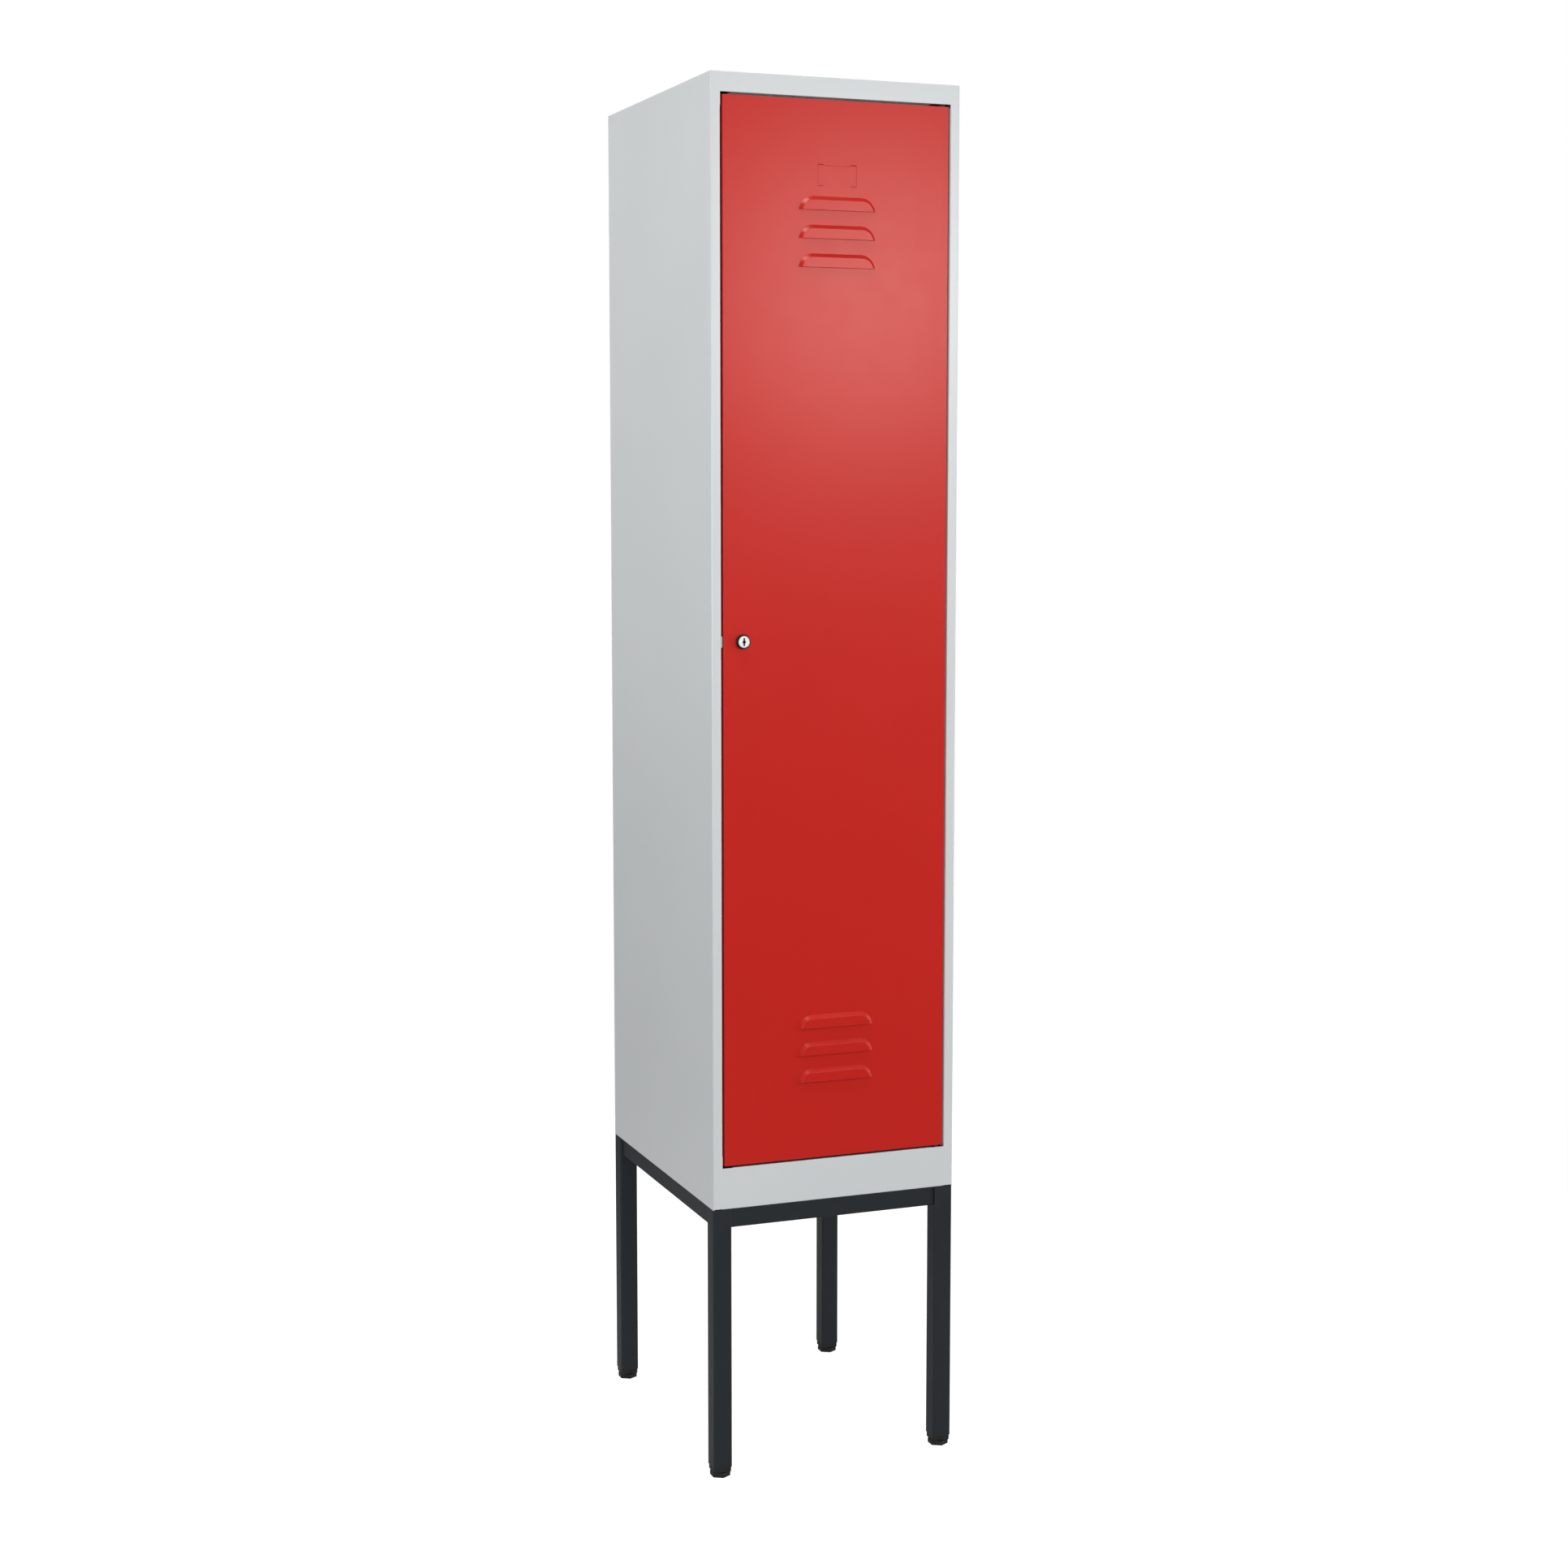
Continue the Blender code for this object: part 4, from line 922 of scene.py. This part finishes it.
doorPan = {
    "left": -0.1817,
    "right": 0.1817,
    "low": 0.4913,
    "high": 2.0915,
    "back": -0.2287,
    "edge": 0.0005,
    "lip": 0.012,
    "lockHole": 0.0098,
    "lock": (-0.1512, 1.291),
    # panels of the face that take the louvres, label and lock
    "cellHalf": 0.072,
    "cellEdge": 0.008,
    "cellHead": 0.028,
    "cellLock": 0.016,
}
louvre = {
    "width": 0.1235,
    "height": 0.020,
    "under": 0.0035,  # the arcs' centres lie this far under the mouth
    "slope": 0.0047,
    "topSlope": 0.0054,
    "proud": 0.005,
    "edge": 0.0003,
    "arcGap": 0.00005,
    "feet": (0.6112, 0.6532, 0.6952, 1.8466, 1.8886, 1.9306),
}
label = {
    "width": 0.062,
    "low": 1.966,
    "high": 1.998,
    "tab": 0.009,
    "fold": 0.0005,
    "lowSlit": 0.0008,
    "highSlit": 0.0014,
    "score": 0.0004,
    "scoreDrop": 0.0026,
    "scoreInset": 0.001,
    "lean": 0.8,  # share of the depth that a slit leans out at its foot
}


def louvreMesh():
    # one pressed hood, its foot left open
    v = louvre
    bm = bmesh.new()
    tall = v["height"] + v["under"]
    spread = 2 * (tall - math.sqrt(tall * tall - v["under"] ** 2))
    wide = v["width"] + spread
    rings = ((wide, tall, 0), (wide - 2 * v["slope"], tall - v["topSlope"], v["proud"]))
    for width, height, rise in rings:
        known = set(bm.verts)
        flatBlank(bm, width, height, height - v["arcGap"], 14, lambda p: p.y > 0)
        fresh = [vert for vert in bm.verts if vert not in known]
        bmesh.ops.translate(bm, verts=fresh, vec=(0, height / 2 - v["under"], rise))
    flat = [face for face in bm.faces if face.calc_center_median().z < v["proud"] / 2]
    bmesh.ops.bridge_loops(bm, edges=bm.edges[:])
    bmesh.ops.delete(bm, geom=flat, context="FACES_ONLY")
    cutThrough(bm, (0, 1, 0), 0, clear_inner=True)
    faceOut(bm)
    bm.normal_update()
    roundEdges(bm, edgesPast(sharpEdges(bm, 25), 2, v["proud"] - pointSlack), v["edge"], 3)
    mesh = bpy.data.meshes.new("louvreBlank")
    bm.to_mesh(mesh)
    bm.free()
    return mesh


def drawLoop(bm, points):
    dots = [bm.verts.new((x, cabinet["front"], z)) for x, z in points]
    return [bm.edges.new(pair) for pair in zip(dots, dots[1:] + dots[:1])]


def openCell(bm, low, high):
    # takes the front face between two corners out and gives its border
    middle = Vector(((low[0] + high[0]) / 2, cabinet["front"], (low[1] + high[1]) / 2))
    face = min(bm.faces, key=lambda one: (one.calc_center_median() - middle).length)
    border = face.edges[:]
    bmesh.ops.delete(bm, geom=[face], context="FACES_ONLY")
    return border


def doorSkin():
    d, v, t = doorPan, louvre, label
    front = cabinet["front"]
    bm = bmesh.new()
    low, high = Vector((d["left"], front, d["low"])), Vector((d["right"], d["back"], d["high"]))
    middle, size = (low + high) / 2, high - low
    bmesh.ops.create_cube(bm, size=1, matrix=boxPlace(low, high))
    rear = facesPast(bm, 1, d["back"] - pointSlack)
    bmesh.ops.delete(bm, geom=rear, context="FACES_ONLY")
    half, near = d["cellHalf"], d["cellLock"]
    lockX, lockZ = d["lock"]
    cells = (
        ((-half, v["feet"][0] - d["cellEdge"]), (half, v["feet"][2] + d["cellHead"])),
        ((-half, v["feet"][3] - d["cellEdge"]), (half, t["high"] + d["cellEdge"])),
        ((lockX - near, lockZ - near), (lockX + near, lockZ + near)),
    )
    for (left, bottom), (right, top) in cells:
        for normal, levels in (((1, 0, 0), (left, right)), ((0, 0, 1), (bottom, top))):
            for level in levels:
                cutThrough(bm, normal, level, dist=1e-7)
    borders = [openCell(bm, *cell) for cell in cells]

    blank = louvreMesh()
    for group, feet in enumerate((v["feet"][:3], v["feet"][3:])):
        for foot in feet:
            known = set(bm.verts)
            bm.from_mesh(blank)
            fresh = [vert for vert in bm.verts if vert not in known]
            bmesh.ops.transform(bm, matrix=at((0, front, foot)) @ toFront, verts=fresh)
            rim = {vert for vert in fresh if abs(vert.co.y - front) < pointSlack}
            borders[group] += [edge for edge in bm.edges if rim.issuperset(edge.verts)]
    bpy.data.meshes.remove(blank)

    # label holder: left, right, low, high and depth of each groove
    under, over = t["low"] + t["lowSlit"], t["high"] - t["highSlit"]
    cuts = []
    for side in (-1, 1):
        outer = side * t["width"] / 2
        tip, inner = outer - side * t["tab"], outer - side * t["fold"]
        cuts += (
            (tip, outer, t["low"], under, t["lowSlit"]),
            (tip, outer, over, t["high"], t["highSlit"]),
            (inner, outer, under + t["fold"], over - t["fold"], t["fold"]),
        )
    reach = t["width"] / 2 - t["tab"] - t["scoreInset"]
    line = t["high"] - t["scoreDrop"]
    cuts.append((-reach, reach, line, line + t["score"], t["score"]))
    grooves = []
    for left, right, bottom, top, deep in cuts:
        grooves.append(drawLoop(bm, ((left, bottom), (right, bottom), (right, top), (left, top))))
    borders[1] += [edge for groove in grooves for edge in groove]
    place = at((lockX, front, lockZ)) @ toFront
    ring = bmesh.ops.create_circle(bm, cap_ends=False, segments=40, radius=d["lockHole"], matrix=place)
    hole = set(ring["verts"])
    borders[2] += [edge for edge in bm.edges if hole.issuperset(edge.verts)]
    for border in borders:
        bmesh.ops.triangle_fill(bm, use_beauty=True, edges=border, normal=(0, -1, 0))
    for groove, (left, right, bottom, top, deep) in zip(grooves, cuts):
        floor = pull(bm, groove, (0, deep, 0))
        if abs(right - left) > top - bottom:
            # slits lean out to the front at the foot
            foot = {vert for edge in floor for vert in edge.verts if vert.co.z < (bottom + top) / 2}
            bmesh.ops.translate(bm, verts=list(foot), vec=(0, -t["lean"] * deep, 0))
        bmesh.ops.edgeloop_fill(bm, edges=floor)

    rim = edgesPast(bm.edges, 1, d["back"] - pointSlack)
    lip = {vert for edge in pull(bm, rim, (0, 0, 0)) for vert in edge.verts}
    narrow = (1 - 2 * d["lip"] / size.x, 1, 1 - 2 * d["lip"] / size.z)
    bmesh.ops.scale(bm, vec=narrow, verts=list(lip), space=at(-middle))
    faceOut(bm)
    face = [one for one in bm.faces if abs(one.calc_center_median().y - front) < pointSlack]
    if max(face, key=lambda one: one.calc_area()).normal.y > 0:
        bmesh.ops.reverse_faces(bm, faces=bm.faces)
    outline = []
    for edge in sharpEdges(bm, 75):
        spot = (edge.verts[0].co + edge.verts[1].co) / 2 - middle
        if abs(spot.x) > size.x / 2 - 1e-5 or abs(spot.z) > size.z / 2 - 1e-5:
            outline.append(edge)
    roundEdges(bm, outline, d["edge"], 4)
    addSheet("doorPan", bm, doorRed, "door", "door_panel")


rib = {
    "middle": 0.1157,
    "web": 0.040,
    "flange": 0.012,
    "depth": 0.014,
    "low": 0.5313,
    "high": 2.0507,
    "seat": -0.2449,
}


def doorRib():
    r = rib
    left, right = r["middle"] - r["web"] / 2, r["middle"] + r["web"] / 2
    foot, crest = r["seat"] + cabinet["sheet"], r["seat"] + r["depth"]
    bends = (
        (right + r["flange"], foot),
        (right, foot),
        (right, crest),
        (left, crest),
        (left, foot),
        (left - r["flange"], foot),
    )
    addSheet("doorRib", foldShape(bends, upright, (r["low"], r["high"])), doorRed, "door", "door_stiffener")


doorSkin()
doorRib()
print("locker: door pressed")


hinge = {
    "pivot": (0.1727, -0.2392),
    "pin": 0.003,
    "pinEdge": 0.0006,
    "head": 0.005,
    "headHeight": 0.003,
    "reach": 0.009,
    "gaps": {"upper": 0.0035, "lower": 0.0033},
    "play": 0.0003,
    "drill": 0.05,
    "blockEdge": 0.0008,
    "collar": 0.006,
    "bushEdge": 0.0005,
    "bushes": {"lower": (-0.002, 0.003), "upper": (-0.0032, 0.002)},
}


def hingePins():
    h = hinge
    seat = -cabinet["sheet"] - cabinet["fit"]
    for side, z, flip in (("upper", doorPan["high"], 0), ("lower", doorPan["low"], math.pi)):
        tip = h["gaps"][side] + h["reach"]
        profile = (
            (0, tip),
            (h["pin"], tip),
            (h["pin"], seat),
            (h["head"], seat),
            (h["head"], seat - h["headHeight"]),
            (0, seat - h["headHeight"]),
        )
        place = at((*h["pivot"], z)) @ Matrix.Rotation(flip, 4, "X")
        bm = turnShape(profile, place, 28, edge=h["pinEdge"])
        addPiece(side + "Pin", bm, zincSteel, "door", side + "_hinge_pin")


def hingeBearings():
    h = hinge
    bore = h["pin"] + h["play"]
    for side in ("upper", "lower"):
        low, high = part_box(side + "_hinge_bearing")
        if side == "lower":
            high.z = cabinet["openLow"]
        bearing = makeObject(side + "Bearing", boxShape(low, high, h["blockEdge"]), blackPlastic)
        pin = turnShape(rod(bore, -h["drill"], h["drill"]), at((*h["pivot"], low.z)), 24)
        cutAway(bearing, pin)
        mount(bearing, "cabinet", side + "_hinge_bearing")
    # bushes between the bearings and the door
    for side, (low, high) in h["bushes"].items():
        ring = ((bore, low), (bore, high), (h["collar"], high), (h["collar"], low))
        level = cabinet["openLow"] if side == "lower" else cabinet["openHigh"]
        place = at((*h["pivot"], level))
        bush = turnShape(ring, place, 28, closed=True, edge=h["bushEdge"])
        addPiece(side + "Bush", bush, blackPlastic, "cabinet", side + "_hinge_bearing")


# sizes of the strip of painted shade under the door
gapShade = {"setBack": 0.0028, "thick": 0.0013, "edge": 0.0004}


def gapShadeStrip():
    # a black rubber strip laid on the frame under the door, standing in for the shade in the gap there:
    # painted shade
    c, s, f = cabinet, gapShade, floorSheet
    start = (c["openLeft"] + f["leftRelief"], c["front"] + s["setBack"], c["openLow"])
    end = (c["openRight"] - f["hingeRelief"], doorPan["back"], c["openLow"] + s["thick"])
    addPiece("bottomGapShade", boxShape(start, end, s["edge"]), blackRubber, "cabinet")


# sizes of the painted-shade blocks in the notched corners
notch = {"width": 0.01765, "depth": 0.0209, "height": 0.012, "edge": 0.0002}


def cornerShadeBlocks():
    # black blocks in the notched corners of the frame, on the lock side, standing in for the shade inside
    # the open notches: painted shade
    n, c = notch, cabinet
    x, y = c["openLeft"] + c["fit"], c["front"] + c["sheet"]
    for side, low in (("lower", c["openLow"] - n["height"]), ("upper", c["openHigh"])):
        plug = boxShape((x, y, low), (x + n["width"], y + n["depth"], low + n["height"]), n["edge"])
        addPiece(side + "CornerShade", plug, blackPlastic, "cabinet")


lock = {
    "proud": 0.0076,
    "collar": 0.0112,
    "collarEdge": 0.0003,
    "taper": 0.35,  # share of the height below the taper
    "rim": 0.0094,
    "face": 0.0088,
    "faceDepth": 0.003,
    "recess": 0.0006,
    "barrel": 0.0095,
    "plug": 0.007,
    "plugEdge": 0.0004,
    "tail": -0.0235,
    "shaft": 0.0042,
    "shaftStep": 0.001,
    "slotHeight": 0.0090,
    "slotWidth": 0.0018,
    "slotEnd": 0.0015,
    "keyHole": 0.0027,
    "slotDepth": 0.006,
    "slotOver": 0.004,
}


def lockPlace(depth=0.0):
    x, z = doorPan["lock"]
    return at((x, cabinet["front"] + depth, z)) @ toFront


def lockCollar():
    k = lock
    bore = k["face"] + cabinet["fit"]
    seat = k["proud"] - k["faceDepth"] - k["recess"] - cabinet["fit"]
    profile = (
        (bore, k["proud"]),
        (k["rim"], k["proud"]),
        (k["collar"], k["proud"] * k["taper"]),
        (k["collar"], 0.0),
        (k["barrel"], 0.0),
        (k["barrel"], k["tail"]),
        (k["plug"] + cabinet["fit"], k["tail"]),
        (k["plug"] + cabinet["fit"], seat),
        (bore, seat),
    )
    bm = turnShape(profile, lockPlace(), 56, closed=True, edge=k["collarEdge"], edgeAngle=15)
    addPiece("lockCollar", bm, blackPlastic, "door", "lock_housing")


def lockPlug():
    k = lock
    face = k["proud"] - k["recess"]
    profile = (
        (0, face),
        (k["face"], face),
        (k["face"], face - k["faceDepth"]),
        (k["plug"], face - k["faceDepth"]),
        (k["plug"], k["tail"] + k["shaftStep"]),
        (k["shaft"], k["tail"] + k["shaftStep"]),
        (k["shaft"], k["tail"] - k["shaftStep"]),
        (0, k["tail"] - k["shaftStep"]),
    )
    bm = turnShape(profile, lockPlace(), 56, edge=k["plugEdge"], edgeAngle=60)
    plug = makeObject("lockPlug", bm, satinNickel)
    key = bmesh.new()
    flatBlank(key, k["slotWidth"], k["slotHeight"])
    bottom, over = face - k["slotDepth"], face + k["slotOver"]
    bmesh.ops.translate(key, verts=key.verts, vec=(0, 0, bottom))
    raiseFaces(key, key.faces[:], over - bottom)
    ends = k["slotHeight"] / 2
    for rise, radius in ((0, k["keyHole"]), (ends, k["slotEnd"]), (-ends, k["slotEnd"])):
        joinShape(key, turnShape(rod(radius, bottom, over), at((0, rise, 0)), 28))
    moveShape(key, lockPlace())
    # the key way's walls are lined black: painted shade inside the slot
    cutAway(plug, key, blackPlastic)
    mount(plug, "lock", "lock_plug")


fixings = {
    "nut": 0.014,
    "nutHeight": 0.004,
    "nutSeat": 0.0013,
    "nutEdge": 0.0005,
    "camLength": 0.029,
    "camWidth": 0.016,
    "camSeat": 0.0225,
    "camThick": 0.002,
    "camEdge": 0.0004,
}


def lockNut():
    n = fixings
    bm = bmesh.new()
    bmesh.ops.create_circle(bm, cap_ends=False, segments=6, radius=n["nut"])
    bmesh.ops.create_circle(bm, cap_ends=False, segments=36, radius=lock["barrel"] + cabinet["fit"])
    bmesh.ops.bridge_loops(bm, edges=bm.edges[:])
    raiseFaces(bm, bm.faces[:], n["nutHeight"])
    roundEdges(bm, sharpEdges(bm, 50), n["nutEdge"], 2)
    moveShape(bm, lockPlace(n["nutSeat"] + n["nutHeight"]))
    addPiece("lockNut", bm, zincSteel, "door", "lock_nut")


def lockCam():
    n = fixings
    bm = bmesh.new()
    length = n["camLength"] + n["camWidth"] / 2
    flatBlank(bm, n["camWidth"], length, n["camWidth"] / 2 - arcSlack, 10)
    bmesh.ops.translate(bm, verts=bm.verts, vec=(0, (n["camLength"] - n["camWidth"] / 2) / 2, 0))
    raiseFaces(bm, bm.faces[:], n["camThick"])
    roundEdges(bm, sharpEdges(bm, 60), n["camEdge"], 2)
    moveShape(bm, lockPlace(n["camSeat"] + n["camThick"]))
    addPiece("lockCam", bm, zincSteel, "lock", "lock_cam")


screw = {
    "shank": 0.0016,
    "length": 0.003,
    "head": 0.005,
    "rim": 0.0009,
    "crown": (0.0036, 0.0019),
    "height": 0.0022,
    "edge": 0.0003,
    "cross": (0.0011, 0.0056),
    "crossLow": 0.004,
    "crossDeep": 0.0028,
}


def camScrew():
    n, s = fixings, screw
    seat = -n["camSeat"] - n["camThick"] - cabinet["fit"]
    profile = (
        (0, seat + s["length"]),
        (s["shank"], seat + s["length"]),
        (s["shank"], seat),
        (s["head"], seat),
        (s["head"], seat - s["rim"]),
        (s["crown"][0], seat - s["crown"][1]),
        (0, seat - s["height"]),
    )
    bm = turnShape(profile, lockPlace(), 36, edge=s["edge"], edgeAngle=50)
    piece = makeObject("camScrew", bm, zincSteel)
    for size in (s["cross"], s["cross"][::-1]):
        cross = bmesh.new()
        flatBlank(cross, *size)
        bmesh.ops.translate(cross, verts=cross.verts, vec=(0, 0, seat - s["crossLow"]))
        raiseFaces(cross, cross.faces[:], s["crossDeep"])
        moveShape(cross, lockPlace())
        cutAway(piece, cross)
    mount(piece, "lock", "cam_screw")


stop = {
    "keepEdge": 0.0005,
    "dome": ((0, 0), (0.0022, 0.0001), (0.0036, 0.0005), (0.004, 0.0011)),
    "neck": 0.0018,
    "barb": 0.0028,
    "tip": 0.002,
}


def stops():
    c, s = cabinet, stop
    low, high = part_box("lock_keep")
    addPiece("lockKeep", boxShape(low, high, s["keepEdge"]), cabinetGrey, "cabinet", "lock_keep")
    for side in ("lower", "upper"):
        low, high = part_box(side + "_door_buffer")
        middle = (low + high) / 2
        top = c["front"] - low.y
        seat = c["front"] - c["stopFace"] + c["fit"]
        barb = c["front"] - c["stopFace"] - c["sheet"] - c["fit"]
        profile = (
            *((radius, top - drop) for radius, drop in s["dome"]),
            (s["dome"][-1][0], seat),
            (s["neck"], seat),
            (s["neck"], barb),
            (s["barb"], barb),
            (0, barb - s["tip"]),
        )
        place = at((middle.x, c["front"], middle.z)) @ toFront
        bm = turnShape(profile, place, 28)
        addPiece(side + "Buffer", bm, blackRubber, "cabinet", side + "_door_buffer")


hingePins()
hingeBearings()
gapShadeStrip()
cornerShadeBlocks()
lockCollar()
lockPlug()
lockNut()
lockCam()
camScrew()
stops()
print("locker: hinges, lock and stops fitted")


clothes = {
    "railY": 0.0195,
    "railZ": 1.749,
    "width": 0.015,
    "height": 0.030,
    "wall": 0.0012,
    "cupWall": 0.004,
    "cupDepth": 0.012,
    "cupBase": 0.003,
    "cupEdge": 0.0009,
}
hook = {
    "wire": 0.0025,
    "tip": 0.0015,
    "curl": 0.016,
    "drop": 0.050,
    "frontLeg": 0.012,
    "places": {"left": -0.09, "middle": 0.0, "right": 0.09},
}


def clothesRail():
    q = clothes
    inner = cabinet["right"] - cabinet["sheet"] - cabinet["fit"]
    end = inner - q["cupBase"] - cabinet["fit"]
    place = at((-end, q["railY"], q["railZ"])) @ towardX
    bm = tubeShape(q["width"], q["height"], q["width"] / 2 - arcSlack, q["wall"], 2 * end, place)
    addPiece("clothesRail", bm, chrome, "cabinet", "clothes_rail")
    for side, flip in (("left", 0), ("right", math.pi)):
        bm = bmesh.new()
        wide, tall = (q[key] + 2 * (q["cupWall"] + cabinet["fit"]) for key in ("width", "height"))
        flatBlank(bm, wide, tall, wide / 2 - arcSlack, 10)
        raiseFaces(bm, bm.faces[:], q["cupDepth"])
        rimLevel = q["cupDepth"] - pointSlack
        mouth = facesPast(bm, 2, rimLevel)
        stepFaces(bm, mouth, q["cupWall"], q["cupBase"] - q["cupDepth"])
        roundEdges(bm, edgesPast(sharpEdges(bm, 60), 2, rimLevel), q["cupEdge"], 3)
        place = at((0, q["railY"], q["railZ"])) @ Matrix.Rotation(flip, 4, "Z")
        moveShape(bm, place @ at((-inner, 0, 0)) @ towardX)
        addPiece(side + "RailCup", bm, blackPlastic, "cabinet", side + "_rail_socket")


def coatHook(side, x):
    q, h = clothes, hook
    reach = q["width"] / 2 + cabinet["fit"] + h["wire"]
    crown = q["railZ"] + (q["height"] - q["width"]) / 2
    curlZ = q["railZ"] - h["drop"]
    bm = bmesh.new()
    start = at((x, q["railY"] - reach, crown - h["frontLeg"]))
    bmesh.ops.create_circle(bm, cap_ends=False, segments=14, radius=h["wire"], matrix=start)
    first = bm.edges[:]
    ring = pull(bm, first, (0, 0, h["frontLeg"]))

    def bend(edges, y, z, steps):
        verts = list({vert for edge in edges for vert in edge.verts})
        geom, centre = verts + edges, (x, y, z)
        made = bmesh.ops.spin(
            bm, geom=geom, cent=centre, axis=(-1, 0, 0), angle=math.pi, steps=steps, use_merge=False
        )
        return edgesIn(made["geom_last"])

    ring = bend(ring, q["railY"], crown, 20)
    ring = pull(bm, ring, (0, 0, curlZ - crown))
    ring = bend(ring, q["railY"] + reach - h["curl"], curlZ, 24)
    ring = pull(bm, ring, (0, 0, h["curl"] / 2))
    caps = [face for end in (first, ring) for face in bmesh.ops.edgeloop_fill(bm, edges=end)["faces"]]
    faceOut(bm)
    roundEdges(bm, [edge for face in caps for edge in face.edges], h["tip"], 4)
    addPiece(side + "Hook", bm, zincSteel, side + "_hook", side + "_coat_hook", angle=50)


clothesRail()
for side, x in hook["places"].items():
    coatHook(side, x)
print("locker: clothes rail and hooks hung")


base = {
    "leg": 0.030,
    "wall": 0.0015,
    "corner": 0.003,
    "legLow": 0.0161,
    "legHigh": 0.4237,
    "railWidth": 0.022,
    "railHeight": 0.030,
    "railInset": 0.004,
    "railCorner": 0.002,
    "bolts": 0.1,
}


def legPlaces():
    c, half = cabinet, base["leg"] / 2
    for row, y in (("front", c["front"] + half), ("rear", c["back"] - half)):
        for side, x in (("left", c["left"] + half), ("right", c["right"] - half)):
            yield row + "_" + side, row + side.capitalize(), x, y


def legs():
    b = base
    for node, name, x, y in legPlaces():
        place = at((x, y, b["legLow"]))
        bm = tubeShape(b["leg"], b["leg"], b["corner"], b["wall"], b["legHigh"] - b["legLow"], place)
        addPiece(name + "Leg", bm, frameAnthracite, "cabinet", node + "_leg")


foot = {
    "height": 0.007,
    "radius": 0.0162,
    "edge": 0.0006,
    "stud": 0.004,
    "studLength": 0.032,
    "studRoot": 0.001,
    "studEnd": 0.0032,
    "pitch": 0.00125,
    "groove": 0.0035,
    "ridges": (0.2, 0.6),  # shares of the pitch
    "plugFlange": 0.0085,
    "plugInset": 0.0009,
    "plugEdge": 0.0022,
    "spigot": 0.018,
}


def legPlugs():
    f = foot
    for node, name, x, y in legPlaces():
        bm = bmesh.new()
        side = base["leg"] - 2 * f["plugInset"]
        flatBlank(bm, side, side, base["corner"], 6)
        raiseFaces(bm, bm.faces[:], f["plugFlange"])
        under = [edge for edge in sharpEdges(bm, 60) if all(vert.co.z < pointSlack for vert in edge.verts)]
        roundEdges(bm, under, f["plugEdge"], 4)
        lid = facesPast(bm, 2, f["plugFlange"] - pointSlack)
        stepFaces(bm, lid, base["wall"] + cabinet["fit"] - f["plugInset"], f["spigot"])
        bmesh.ops.translate(bm, verts=bm.verts, vec=(x, y, f["height"] + cabinet["fit"]))
        addPiece(name + "Plug", bm, blackPlastic, "cabinet", node + "_leg_plug")


def feet():
    f = foot
    for node, name, x, y in legPlaces():
        # six sides, one corner to the front
        body = rod(f["radius"], f["height"], 0)
        bm = turnShape(body, Matrix.Rotation(math.pi / 2, 4, "Z"), 6, edge=f["edge"], edgeAngle=25)
        # the thread, ridge by ridge
        thread = [(f["stud"], f["height"] - f["studRoot"])]
        for number in range(int(f["studLength"] / f["pitch"])):
            crest, root = (f["height"] + (number + share) * f["pitch"] for share in f["ridges"])
            thread += [(f["stud"], crest), (f["groove"], root)]
        end = f["height"] + f["studLength"]
        thread += [(f["studEnd"], end), (0, end)]
        joinShape(bm, turnShape(thread, Matrix.Identity(4), 24))
        bmesh.ops.translate(bm, verts=bm.verts, vec=(x, y, 0))
        addPiece(name + "Foot", bm, blackPlastic, node + "_foot", node + "_levelling_foot", angle=25)


def baseRails():
    b, c = base, cabinet
    z = b["legHigh"] - b["railHeight"] / 2
    mid = b["railInset"] + b["railWidth"] / 2
    gap = b["leg"] + c["fit"]
    across = c["right"] - c["left"] - 2 * gap
    along = c["back"] - c["front"] - 2 * gap
    toBack = Matrix.Rotation(-math.pi / 2, 4, "X")
    rails = (
        ("front", (c["left"] + gap, c["front"] + mid, z), towardX, across),
        ("rear", (c["left"] + gap, c["back"] - mid, z), towardX, across),
        ("left", (c["left"] + mid, c["front"] + gap, z), toBack, along),
        ("right", (c["right"] - mid, c["front"] + gap, z), toBack, along),
    )
    for side, start, way, length in rails:
        place = at(start) @ way
        bm = tubeShape(b["railWidth"], b["railHeight"], b["railCorner"], b["wall"], length, place)
        addPiece(side + "BaseRail", bm, frameAnthracite, "cabinet", side + "_base_rail")


bolt = {
    "head": 0.006,
    "headHeight": 0.0035,
    "headEdge": 0.0004,
    "shank": 0.003,
    "shankTop": 0.001,
    "shankEnd": -0.010,
    "shankEdge": 0.0003,
}


def frameBolts():
    b, c, t = base, cabinet, bolt
    mid = b["railInset"] + b["railWidth"] / 2
    seat = c["sheet"] + c["fit"]
    for row, y in (("front", c["front"] + mid), ("rear", c["back"] - mid)):
        for side, x in (("left", -b["bolts"]), ("right", b["bolts"])):
            place = at((x, y, c["bottom"]))
            head = rod(t["head"], seat + t["headHeight"], seat)
            shank = rod(t["shank"], seat + t["shankTop"], t["shankEnd"])
            bm = turnShape(head, place, 6, edge=t["headEdge"])
            joinShape(bm, turnShape(shank, place, 20, edge=t["shankEdge"]))
            name = row + side.capitalize() + "Bolt"
            addPiece(name, bm, zincSteel, "cabinet", row + "_" + side + "_frame_bolt")


legs()
legPlugs()
feet()
baseRails()
frameBolts()
print("locker: tube base standing")
